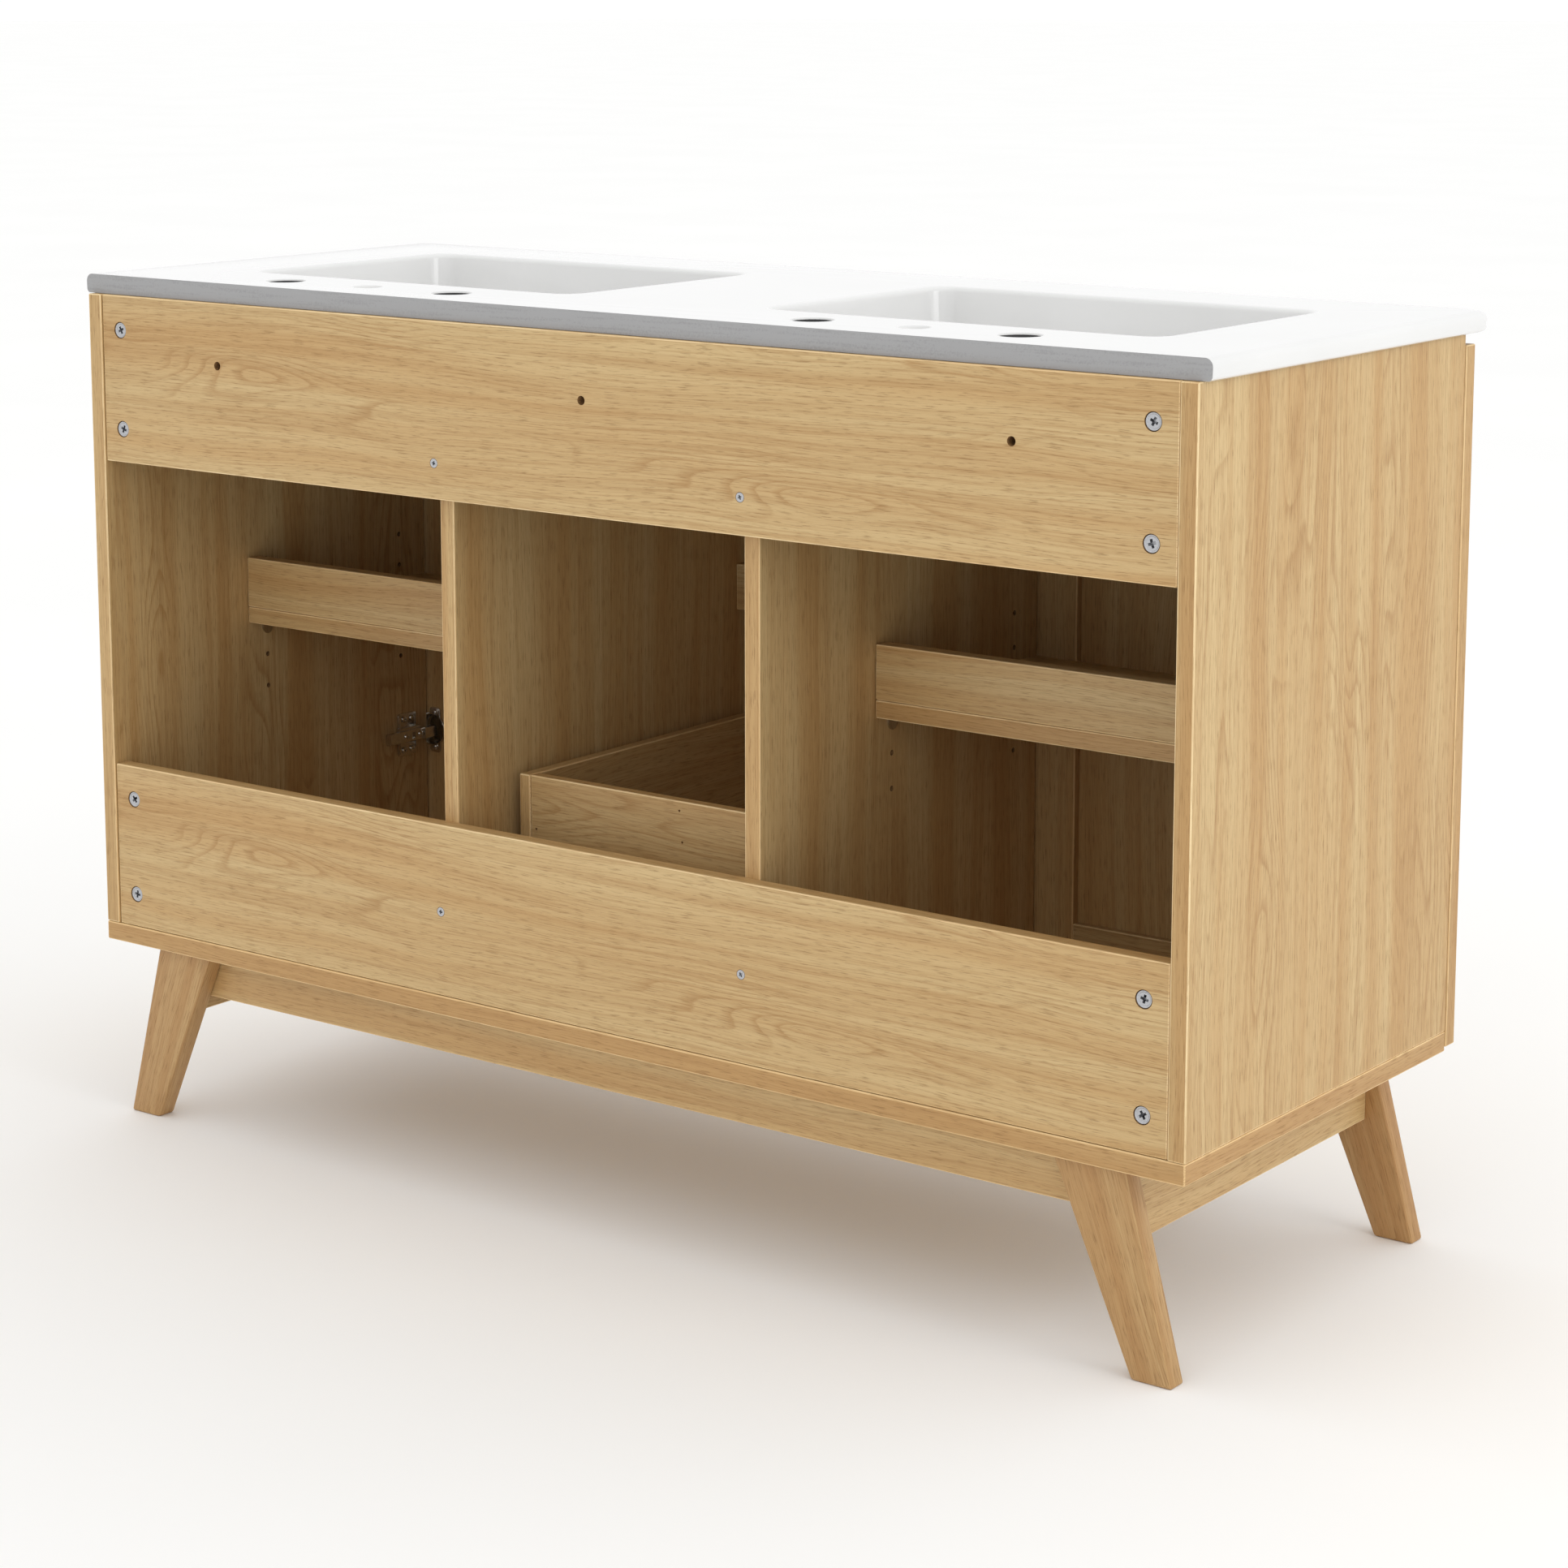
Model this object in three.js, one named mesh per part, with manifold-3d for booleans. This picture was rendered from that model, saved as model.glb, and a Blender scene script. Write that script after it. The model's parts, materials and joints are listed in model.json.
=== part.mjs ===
// Double-basin bathroom vanity cabinet on four splayed legs, as separate boards, fittings and ceramic.
// Millimetres, +Z up. The doors face -Y and the open plumbing side faces +Y (the wall).
// The origin is on the floor, at the centre of the whole object's box. "left" is -X, as seen from the front.
import * as THREE from "three";
import { mergeVertices } from "three/addons/utils/BufferGeometryUtils.js";
import Module from "manifold-3d";

const wasm = await Module();
wasm.setup();

// ---- driving dimensions -------------------------------------------------------------------------
const GAP = 0.3; // clearance kept between pieces that meet
const BOARD = 16; // side panels, dividers, rails, shelves and doors
const HALF_W = 600; // half the carcass width
const DEPTH = 440; // side panels, front to back
const KNOB_REACH = 24; // knob in front of the door
const DOOR_GAP = 2; // door's inner face in front of the carcass
const REAR = (DEPTH + DOOR_GAP + BOARD + KNOB_REACH) / 2; // carcass rear face
const FRONT = REAR - DEPTH; // carcass front edge
const DOOR_IN = FRONT - DOOR_GAP; // doors' inner face
const DOOR_OUT = DOOR_IN - BOARD; // doors' outer face

const LEG_H = 172; // floor to underside of the bottom panel
const BASE_T = 18; // bottom panel
const FLOOR_Z = LEG_H + BASE_T; // top of the bottom panel
const CARCASS_TOP = 796;
const RAIL_H = 157; // both back rails
const RAIL_REAR = REAR - 1.5; // back rails' rear faces, set in from the side panels' edges
const RAIL_END_GAP = 1; // between a back rail's end and the side panel
const SIDE_IN = HALF_W - BOARD; // inner faces of the side panels

const DIVIDER_X = 168.5; // centre plane of each divider
const DIVIDER_TOP = 690; // under the basins
const HORN_DEPTH = 44; // divider's front horn, which rises in front of the basin
const FRONT_RAIL_H = 57; // top front rail
const MID_RAIL = [481, 526]; // middle front rail, low and high
const DIV_IN = DIVIDER_X - BOARD / 2;
const DIV_OUT = DIVIDER_X + BOARD / 2;

const TOP_HALF_W = 608; // ceramic
const TOP_T = 17.7;
const TOP_REAR = REAR - 6;
const TOP_FRONT = REAR - 474;
const TOP_Z = CARCASS_TOP + GAP + TOP_T;
const BASIN_X = 302; // basin centre
const BASIN_W = 388;
const BASIN_D = 262;
const BASIN_Y = REAR - 246; // basin centre
const BASIN_DEEP = 108;
const BASIN_WALL = 10;
const BASIN_HEEL = 30; // radius between the walls and the bottom
const BASIN_SLANT = 7; // how far the walls lean in
const BASIN_CORNER = 34; // corner radius in plan
const BASIN_RIM = 5; // radius between the walls and the deck
const SLAB_EDGE = 7; // radius of the upper edges
const SLAB_CORNER = 16; // corner radius in plan
const TAP = { x: 300, y: REAR - 61, pitch: 203.2, r: 17.5 }; // each basin's outer tap holes
const KNOCKOUT = { r: 13, deep: 3 }; // closed hole between them
const DRAIN_R = 22.5;

const SHELF = { z: 457, rear: REAR - 182, upstand: 49 };
const PIN = { r: 2.5, deep: 9, pitch: 32, first: 389.5, count: 5, rows: [REAR - 208.5, REAR - 402] };

const DOOR_Z = [175.5, 786];
const DOOR_INNER = 170; // |x| of the doors' meeting edge
const FRONT_HALF = 167; // half width of the middle fronts
const SPLIT_Z = 503.5; // between the false front and the drawer front
const FRONT_GAP = 3;
const STILE = 48;
const PANEL_T = 5; // door panel
const PANEL_BACK = 8.5; // panel's rear face, in front of the door's inner face
const GROOVE = 7;
const HINGE_Z = [305.5, 656];
const CUP = { x: 577.5, r: 17.5, deep: 12, wall: 2 };
const FLANGE = { in: 12, out: 3, half: 24, t: 1.2 }; // from the cup's axis, and half its height
const PLATE = { y: REAR - 407.5, half: 13.5, halfH: 22.5, t: 2 }; // hinge plate on the side panel
const ARM = { rear: REAR - 371.5, halfH: 6, t: 7 };
const KNOB = { r: 14, foot: 6, neck: 5, neckEnd: 10, headMid: 17, headHalf: 7 };
const KNOB_Z = { door: 640, drawer: 449.5 };

const DRAWER = { halfW: 148, rear: REAR - 87, low: 206, top: 381, side: 12 };
const DRAWER_FLOOR = { t: 5, rise: 10, groove: 5 }; // thickness, height in the box, depth of its groove
const SLIDE = { z: 262, half: 16, sheet: 1.2, length: 350, rollerRise: 2, angleHalf: 12 };

const LEG = { topIn: 472, topOut: 540, footIn: 548, footOut: 585.5, t: 20 };
const LEG_REAR = REAR - 10.5; // rear legs' rear faces
const LEG_FRONT = REAR - 418; // front legs' rear faces
const APRON = { t: 18, out: 537, sideLow: 104.5, crossLow: 126 };

const CAM = { x: 560, r: 7.5, deep: 12.5, rise: [31.5, 124.5] }; // cam locks, above each rail's lower edge
const SCREW = { head: 4.2, shank: 2, length: 40, rise: [32, 77] }; // upper rail, lower rail
const CAM_CROSS = { half: 5.4, width: 1.6, deep: 1.6 };
const SCREW_CROSS = { half: 2.6, width: 0.9, deep: 1.2 };
const WALL_HOLE = { r: 4, x: [-433, 0, 433], rise: 99.5 };
const PILOT_DEEP = 25; // screw holes in the dividers' rear edges

// ---- materials ----------------------------------------------------------------------------------
function make(color, roughness, metalness = 0) {
  return new THREE.MeshStandardMaterial({ color, roughness, metalness });
}

const oak = () => make(0xcda975, 0.55);
const glaze = () => make(0xf5f5f6, 0.12);
const zinc = () => make(0xb9bbbe, 0.4, 1);
const nickel = () => make(0x8f9196, 0.3, 1);
const steel = () => make(0xc9cacc, 0.35, 1);
const brass = () => make(0xb08d4c, 0.3, 1);

// ---- solids -------------------------------------------------------------------------------------
function solid(geometry) {
  const bare = geometry.clone();
  bare.deleteAttribute("normal");
  bare.deleteAttribute("uv");
  const merged = mergeVertices(bare, 1e-4);
  const mesh = new wasm.Mesh({
    numProp: 3,
    vertProperties: new Float32Array(merged.attributes.position.array),
    triVerts: new Uint32Array(merged.index.array),
  });
  return new wasm.Manifold(mesh);
}

function geometryOf(manifold) {
  const mesh = manifold.getMesh();
  const geometry = new THREE.BufferGeometry();
  geometry.setAttribute("position", new THREE.BufferAttribute(new Float32Array(mesh.vertProperties), 3));
  geometry.setIndex(new THREE.BufferAttribute(new Uint32Array(mesh.triVerts), 1));
  return geometry.toNonIndexed();
}

function block([x0, x1], [y0, y1], [z0, z1]) {
  const geometry = new THREE.BoxGeometry(x1 - x0, y1 - y0, z1 - z0);
  return geometry.translate((x0 + x1) / 2, (y0 + y1) / 2, (z0 + z1) / 2);
}

// A round bar whose low end is at `at`, along +X, +Y or +Z.
function rod(axis, r, length, at, sides = 24) {
  const geometry = new THREE.CylinderGeometry(r, r, length, sides);
  if (axis === "x") geometry.rotateZ(-Math.PI / 2);
  if (axis === "z") geometry.rotateX(Math.PI / 2);
  const half = new THREE.Vector3(axis === "x" ? 1 : 0, axis === "y" ? 1 : 0, axis === "z" ? 1 : 0);
  half.multiplyScalar(length / 2);
  return geometry.translate(at[0] + half.x, at[1] + half.y, at[2] + half.z);
}

// Extrudes an outline given in (x, z) along Y.
function plateXZ(points, [y0, y1], holes = []) {
  const shape = new THREE.Shape(points.map(([x, z]) => new THREE.Vector2(x, z)));
  holes.forEach((hole) => shape.holes.push(new THREE.Path(hole.map(([x, z]) => new THREE.Vector2(x, z)))));
  const geometry = new THREE.ExtrudeGeometry(shape, { depth: y1 - y0, bevelEnabled: false });
  return geometry.rotateX(Math.PI / 2).translate(0, y1, 0);
}

// Extrudes an outline given in (x, y) along Z.
function plateXY(points, [z0, z1]) {
  const shape = new THREE.Shape(points.map(([x, y]) => new THREE.Vector2(x, y)));
  return new THREE.ExtrudeGeometry(shape, { depth: z1 - z0, bevelEnabled: false }).translate(0, 0, z0);
}

function rectangle(x0, x1, z0, z1) {
  return [[x0, z0], [x1, z0], [x1, z1], [x0, z1]];
}

const mirrorX = (points) => points.map(([x, z]) => [-x, z]).reverse();
const cut = (geometry, tools) => tools.reduce((body, tool) => body.subtract(solid(tool)), solid(geometry));
const grow = ([low, high], by) => [low - by, high + by];
const around = (centre, half) => [centre - half, centre + half];

// ---- the scene ----------------------------------------------------------------------------------
const vanity = new THREE.Group();
vanity.name = "bathroom_vanity";

function add(name, shape, material) {
  const geometry = shape instanceof THREE.BufferGeometry ? shape : geometryOf(shape);
  const mesh = new THREE.Mesh(geometry, material);
  mesh.name = name;
  vanity.add(mesh);
}

const sides = [["left", -1], ["right", 1]];
const span = (side, a, b) => (side < 0 ? [-b, -a] : [a, b]);

// Shelf-pin holes bored into a face; `into` is the bore's direction along X.
function pinHoles(face, into) {
  const holes = [];
  for (const y of PIN.rows) {
    for (let i = 0; i < PIN.count; i += 1) {
      const start = into > 0 ? face - 1 : face - PIN.deep;
      holes.push(rod("x", PIN.r, PIN.deep + 1, [start, y, PIN.first + i * PIN.pitch], 12));
    }
  }
  return holes;
}

const railLow = (upper) => (upper ? CARCASS_TOP - RAIL_H : FLOOR_Z + GAP);
const screwHeights = () => [railLow(true) + SCREW.rise[0], railLow(false) + SCREW.rise[1]];

function carcass() {
  add("bottom_panel", block([-HALF_W, HALF_W], [FRONT, REAR], [LEG_H + GAP, FLOOR_Z]), oak());
  for (const [name, s] of sides) {
    const panel = block(span(s, SIDE_IN, HALF_W), [FRONT, REAR], [FLOOR_Z + GAP, CARCASS_TOP]);
    add(`side_panel_${name}`, cut(panel, pinHoles(s * SIDE_IN, s)), oak());
    divider(name, s);
  }
}

// An upright board whose top is cut down behind a front horn to clear the basin.
function divider(name, s) {
  const rear = RAIL_REAR - BOARD - GAP;
  const horn = FRONT + HORN_DEPTH;
  const low = FLOOR_Z + GAP;
  const high = CARCASS_TOP - FRONT_RAIL_H - GAP;
  const outline = [[FRONT, low], [rear, low], [rear, DIVIDER_TOP]];
  outline.push([horn, DIVIDER_TOP], [horn, high], [FRONT, high]);
  const board = plateXY(outline, around(0, BOARD / 2));
  board.rotateX(Math.PI / 2).rotateZ(Math.PI / 2).translate(s * DIVIDER_X, 0, 0);
  const start = rear - PILOT_DEEP;
  const pilot = rod("y", SCREW.shank + GAP, PILOT_DEEP + 1, [s * DIVIDER_X, start, 0], 12);
  const pilots = screwHeights().map((z) => pilot.clone().translate(0, 0, z));
  add(`divider_${name}`, cut(board, [...pilots, ...pinHoles(s * DIV_OUT, -s)]), oak());
}

// Two crossed slots sunk into a head whose face is at y = 0.
function cross({ half, width, deep }) {
  const slot = around(0, width / 2);
  return [block(around(0, half), [-deep, 1], slot), block(slot, [-deep, 1], around(0, half))];
}

function backRails() {
  const cam = cut(rod("y", CAM.r, CAM.deep - GAP, [0, GAP - CAM.deep, 0]), cross(CAM_CROSS));
  for (const upper of [true, false]) {
    const where = upper ? "upper" : "lower";
    const low = railLow(upper);
    const high = upper ? CARCASS_TOP : FLOOR_Z + RAIL_H;
    const rail = block(around(0, SIDE_IN - RAIL_END_GAP), [RAIL_REAR - BOARD, RAIL_REAR], [low, high]);
    const through = (r, x, z, faces) => rod("y", r, BOARD + 2, [x, RAIL_REAR - BOARD - 1, z], faces);
    const tools = [];
    for (const [name, s] of sides) {
      CAM.rise.forEach((rise, i) => {
        const z = low + rise;
        tools.push(rod("y", CAM.r + GAP, CAM.deep + 1, [s * CAM.x, RAIL_REAR - CAM.deep, z]));
        add(`cam_lock_${where}_${name}_${i + 1}`, cam.translate([s * CAM.x, RAIL_REAR, z]), zinc());
      });
      const x = s * DIVIDER_X;
      const z = screwHeights()[upper ? 0 : 1];
      tools.push(through(SCREW.shank + GAP, x, z, 12));
      tools.push(screwHead(SCREW.head + GAP, 1).translate(x, RAIL_REAR, z));
      add(`screw_${where}_${name}`, screw().translate([x, RAIL_REAR, z]), zinc());
    }
    if (upper) WALL_HOLE.x.forEach((x) => tools.push(through(WALL_HOLE.r, x, low + WALL_HOLE.rise, 20)));
    add(`back_rail_${where}`, cut(rail, tools), oak());
  }
}

function lathe(profile, faces) {
  return new THREE.LatheGeometry(profile.map(([r, y]) => new THREE.Vector2(r, y)), faces);
}

// Countersunk head: a cone that widens to y = 0, and `over` beyond it.
const screwHead = (r, over) => lathe([[0, -r], [r, 0], [r, over], [0, over]], 16);

function screw() {
  const { head, shank, length } = SCREW;
  const point = 4; // length of the tip
  const profile = [[0, -length], [shank, point - length], [shank, shank - head], [head, 0], [0, 0]];
  return cut(lathe(profile, 16), cross(SCREW_CROSS));
}

function frontRails() {
  const y = [FRONT, FRONT + BOARD];
  const high = [CARCASS_TOP - FRONT_RAIL_H, CARCASS_TOP];
  add("front_rail_top", block(around(0, SIDE_IN - GAP), y, high), oak());
  add("front_rail_middle", block(around(0, DIV_IN - GAP), y, MID_RAIL), oak());
}

function shelves() {
  for (const [name, s] of sides) {
    const x = span(s, DIV_OUT + 1, SIDE_IN - 1);
    add(`shelf_${name}`, block(x, [FRONT + 4, SHELF.rear], [SHELF.z, SHELF.z + BOARD]), oak());
    const z = SHELF.z + BOARD + GAP;
    add(`shelf_upstand_${name}`, block(x, [SHELF.rear - BOARD, SHELF.rear], [z, z + SHELF.upstand]), oak());
  }
}

function legsAndAprons() {
  const outline = [[LEG.topIn, LEG_H], [LEG.footIn, 0], [LEG.footOut, 0], [LEG.topOut, LEG_H]];
  const between = [LEG_FRONT + GAP, LEG_REAR - LEG.t - GAP];
  for (const [name, s] of sides) {
    const shape = s < 0 ? mirrorX(outline) : outline;
    add(`leg_rear_${name}`, plateXZ(shape, [LEG_REAR - LEG.t, LEG_REAR]), oak());
    add(`leg_front_${name}`, plateXZ(shape, [LEG_FRONT - LEG.t, LEG_FRONT]), oak());
    const x = span(s, APRON.out - APRON.t, APRON.out);
    add(`apron_${name}`, block(x, between, [APRON.sideLow, LEG_H]), oak());
  }
  const x = around(0, APRON.out - APRON.t - GAP);
  const z = [APRON.crossLow, LEG_H];
  add("apron_rear", block(x, [between[1] - APRON.t, between[1]], z), oak());
  add("apron_front", block(x, [between[0], between[0] + APRON.t], z), oak());
}

// ---- ceramic top --------------------------------------------------------------------------------
function roundedRect(w, d, r, steps = 7) {
  const corners = [[1, 1, 0], [-1, 1, 90], [-1, -1, 180], [1, -1, 270]];
  return corners.flatMap(([sx, sy, start]) => Array.from({ length: steps + 1 }, (_, i) => {
    const a = THREE.MathUtils.degToRad(start + (90 * i) / steps);
    return [sx * (w / 2 - r) + r * Math.cos(a), sy * (d / 2 - r) + r * Math.sin(a)];
  }));
}

// Closed solid through a stack of equal-length convex rings, lowest first.
function loft(rings) {
  const count = rings[0].points.length;
  const position = rings.flatMap(({ points, z }) => points.flatMap(([x, y]) => [x, y, z]));
  const index = [];
  for (let k = 0; k + 1 < rings.length; k += 1) {
    for (let i = 0; i < count; i += 1) {
      const j = (i + 1) % count;
      const [a, b, c, d] = [k * count + i, k * count + j, (k + 1) * count + j, (k + 1) * count + i];
      index.push(a, b, c, a, c, d);
    }
  }
  const last = (rings.length - 1) * count;
  for (let i = 1; i + 1 < count; i += 1) {
    index.push(0, i + 1, i);
    index.push(last, last + i, last + i + 1);
  }
  const geometry = new THREE.BufferGeometry();
  geometry.setAttribute("position", new THREE.Float32BufferAttribute(position, 3));
  geometry.setIndex(index);
  return geometry;
}

const quarter = (i, steps) => (Math.PI / 2) * (i / steps);

// Basin surface, `out` outside the bowl's inner face: flat bottom, rounded heel, slightly slanting wall.
function bowl(out, rim, topZ) {
  const heel = BASIN_HEEL + out;
  const low = TOP_Z - BASIN_DEEP - out;
  const ring = (inset, z) => {
    const corner = BASIN_CORNER + out - inset / 2;
    return { points: roundedRect(BASIN_W + 2 * (out - inset), BASIN_D + 2 * (out - inset), corner), z };
  };
  const rings = [];
  for (let i = 0; i <= 5; i += 1) {
    const a = quarter(i, 5);
    rings.push(ring(BASIN_SLANT + heel * (1 - Math.sin(a)), low + heel * (1 - Math.cos(a))));
  }
  for (let i = 0; rim > 0 && i <= 3; i += 1) {
    const a = quarter(i, 3);
    rings.push(ring(-rim * (1 - Math.cos(a)), TOP_Z - rim + rim * Math.sin(a)));
  }
  rings.push(ring(-rim, topZ));
  return loft(rings);
}

// The slab with rounded front and side edges. It is made deeper than needed and sawn off flat at the rear.
function slab(low) {
  const depth = TOP_REAR - TOP_FRONT;
  const spare = 40;
  const ring = (inset, z) => {
    const points = roundedRect(2 * (TOP_HALF_W - inset), depth + spare - 2 * inset, SLAB_CORNER - inset);
    return { points, z };
  };
  const rings = [ring(4, low), ring(1, low + 3)];
  for (let i = 0; i <= 4; i += 1) {
    const a = quarter(i, 4);
    rings.push(ring(SLAB_EDGE * (1 - Math.cos(a)), TOP_Z - SLAB_EDGE + SLAB_EDGE * Math.sin(a)));
  }
  const saw = block(around(0, HALF_W + 100), [TOP_REAR, TOP_REAR + 100], [low - 5, TOP_Z + 5]);
  return cut(loft(rings).translate(0, TOP_FRONT + (depth + spare) / 2, 0), [saw]);
}

function ceramicTop() {
  const low = CARCASS_TOP + GAP;
  let body = slab(low);
  for (const [, s] of sides) {
    body = body.add(solid(bowl(BASIN_WALL, 0, low + 4).translate(s * BASIN_X, BASIN_Y, 0)));
  }
  for (const [, s] of sides) {
    const x = s * BASIN_X;
    const tools = [bowl(0, BASIN_RIM, TOP_Z + 2).translate(x, BASIN_Y, 0)];
    tools.push(rod("z", DRAIN_R, 40, [x, BASIN_Y, TOP_Z - BASIN_DEEP - 25], 32));
    tools.push(rod("z", TAP.r, 40, [s * TAP.x - TAP.pitch / 2, TAP.y, low - 10], 32));
    tools.push(rod("z", TAP.r, 40, [s * TAP.x + TAP.pitch / 2, TAP.y, low - 10], 32));
    tools.push(rod("z", KNOCKOUT.r, 10, [s * TAP.x, TAP.y, TOP_Z - KNOCKOUT.deep], 24));
    body = tools.reduce((rest, tool) => rest.subtract(solid(tool)), body);
  }
  add("ceramic_top", body, glaze());
}

// ---- doors, false front and hinges --------------------------------------------------------------
function doors() {
  const y = [DOOR_OUT, DOOR_IN];
  const back = DOOR_IN - PANEL_BACK;
  for (const [name, s] of sides) {
    const x = span(s, DOOR_INNER, HALF_W);
    const open = grow(x, -STILE);
    const openZ = grow(DOOR_Z, -STILE);
    const ring = plateXZ(rectangle(...x, ...DOOR_Z), y, [rectangle(...open, ...openZ).reverse()]);
    const groove = block(grow(open, GROOVE), [back - PANEL_T - GAP, back + GAP], grow(openZ, GROOVE));
    const bore = rod("y", CUP.r + GAP, CUP.deep + 1, [s * CUP.x, DOOR_IN - CUP.deep, 0], 32);
    const cups = HINGE_Z.map((z) => bore.clone().translate(0, 0, z));
    add(`door_frame_${name}`, cut(ring, [groove, ...cups]), oak());
    const panel = block(grow(open, GROOVE - 0.5), [back - PANEL_T, back], grow(openZ, GROOVE - 0.5));
    add(`door_panel_${name}`, panel, oak());
    add(`knob_door_${name}`, knob(s * (DOOR_INNER + STILE / 2), KNOB_Z.door), brass());
    HINGE_Z.forEach((z, i) => hinge(name, s, z, i === 0 ? "lower" : "upper"));
  }
}

function hinge(name, s, z, where) {
  const bottom = DOOR_IN - CUP.deep + GAP;
  const cup = solid(rod("y", CUP.r, CUP.deep + FLANGE.t, [s * CUP.x, bottom, z], 32));
  const wings = span(s, CUP.x - FLANGE.in, CUP.x + FLANGE.out);
  const flange = solid(block(wings, [DOOR_IN + GAP, DOOR_IN + GAP + FLANGE.t], around(z, FLANGE.half)));
  const inside = solid(rod("y", CUP.r - CUP.wall, CUP.deep + 2, [s * CUP.x, bottom + CUP.wall, z], 32));
  add(`hinge_cup_${name}_${where}`, cup.add(flange).subtract(inside), nickel());

  const wall = SIDE_IN - GAP;
  const plate = block(span(s, wall - PLATE.t, wall), around(PLATE.y, PLATE.half), around(z, PLATE.halfH));
  const saddleX = span(s, wall - 7, wall - 1);
  const saddle = block(saddleX, around(PLATE.y, PLATE.half + 2), around(z, ARM.halfH + 2));
  const near = wall - 5; // the arm's face towards the side panel
  const tip = FRONT + 2.2; // the arm's end, clear of the cup's flange
  const reach = [[near - ARM.t, ARM.rear], [near, ARM.rear], [near, FRONT + 14], [near - 4, tip]];
  reach.push([near - 4 - ARM.t, tip], [near - ARM.t, FRONT + 16]);
  const arm = plateXY(s > 0 ? reach.reverse() : mirrorX(reach).reverse(), around(z, ARM.halfH));
  add(`hinge_arm_${name}_${where}`, solid(plate).add(solid(saddle)).add(solid(arm)), nickel());
}

// Turned knob on a door's or drawer's outer face, its foot on the face.
function knob(x, z) {
  const { r, foot, neck, neckEnd, headMid, headHalf } = KNOB;
  const profile = [[0, -GAP], [foot, -GAP], [neck, -4], [neck, -neckEnd]];
  const start = 0.35; // radians past the pole, where the head meets the neck
  for (let i = 0; i <= 8; i += 1) {
    const a = -Math.PI / 2 + (Math.PI * i) / 8 + start * (1 - i / 8);
    profile.push([i === 8 ? 0 : r * Math.cos(a), -headMid - headHalf * Math.sin(a)]);
  }
  return lathe(profile.reverse(), 20).translate(x, DOOR_OUT, z);
}

// One-piece front with a shallow sunk field on its outer face.
function sunkFront(z0, z1) {
  const board = block(around(0, FRONT_HALF), [DOOR_OUT, DOOR_IN], [z0, z1]);
  const y = [DOOR_OUT - 1, DOOR_OUT + BOARD - PANEL_BACK - PANEL_T];
  const field = block(around(0, FRONT_HALF - STILE), y, grow([z0, z1], -STILE));
  return cut(board, [field]);
}

// ---- drawer -------------------------------------------------------------------------------------
function drawer() {
  add("drawer_front", sunkFront(DOOR_Z[0], SPLIT_Z - FRONT_GAP / 2), oak());
  const { halfW, rear, low, top, side } = DRAWER;
  const { t, rise, groove } = DRAWER_FLOOR;
  const inner = halfW - side;
  const y = [DOOR_IN + GAP, rear];
  const z = [low, top];
  const grooveZ = [low + rise, low + rise + t + 2 * GAP];
  const backY = [rear - side - 1, rear - 1];
  for (const [name, s] of sides) {
    const board = block(span(s, inner, halfW), y, z);
    const sideGroove = block(span(s, inner - 1, inner + groove), [y[0] - 1, backY[0] + groove], grooveZ);
    add(`drawer_side_${name}`, cut(board, [sideGroove]), oak());
    slide(name, s);
  }
  const backGroove = block(around(0, inner + 1), [backY[0] - 1, backY[0] + groove], grooveZ);
  add("drawer_back", cut(block(around(0, inner - GAP), backY, z), [backGroove]), oak());
  const edge = 0.5; // the bottom stays clear of its grooves' ends
  const floorY = [y[0] + GAP, backY[0] + groove - edge];
  const floor = block(around(0, inner + groove - edge), floorY, grow(grooveZ, -GAP));
  const corners = sides.map(([, s]) => block(span(s, inner - edge, halfW), [backY[0], rear], z));
  add("drawer_bottom", cut(floor, corners), oak());
  add("knob_drawer", knob(0, KNOB_Z.drawer), brass());
}

// Two-member runner: a channel on the divider and an angle on the drawer side that runs in it.
function slide(name, s) {
  const { z, half, sheet, length, rollerRise, angleHalf } = SLIDE;
  const wall = DIV_IN - GAP;
  const lip = DRAWER.halfW + 3.2;
  const channel = [[lip, z - half], [wall, z - half], [wall, z + half], [lip, z + half]];
  channel.push([lip, z + half - sheet], [wall - sheet, z + half - sheet]);
  channel.push([wall - sheet, z - half + sheet], [lip, z - half + sheet]);
  const y = [DOOR_IN + 6, DOOR_IN + 6 + length];
  add(`slide_cabinet_${name}`, plateXZ(s > 0 ? channel : mirrorX(channel), y), steel());
  const near = DRAWER.halfW + GAP;
  const out = near + sheet;
  const tip = wall - sheet - 1.5;
  const run = z - rollerRise;
  const angle = [[near, z - angleHalf], [out, z - angleHalf], [out, run], [tip, run], [tip, run + sheet]];
  angle.push([out, run + sheet], [out, z + angleHalf], [near, z + angleHalf]);
  const reach = [DOOR_IN + 3, DRAWER.rear - 2];
  add(`slide_drawer_${name}`, plateXZ(s > 0 ? angle : mirrorX(angle), reach), steel());
}

carcass();
backRails();
frontRails();
shelves();
legsAndAprons();
ceramicTop();
doors();
add("false_front", sunkFront(SPLIT_Z + FRONT_GAP / 2, DOOR_Z[1]), oak());
drawer();

export default vanity;
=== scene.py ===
"""Double-basin bathroom vanity cabinet: the finished look of every piece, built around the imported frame.

Metres, +Z up. The doors face -Y and the open plumbing side faces +Y. "left" is -X, as seen from the front.
"""
import json
import math

import bpy
from bpy.props import FloatProperty, FloatVectorProperty, IntProperty, PointerProperty
from mathutils import Matrix, Vector


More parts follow.
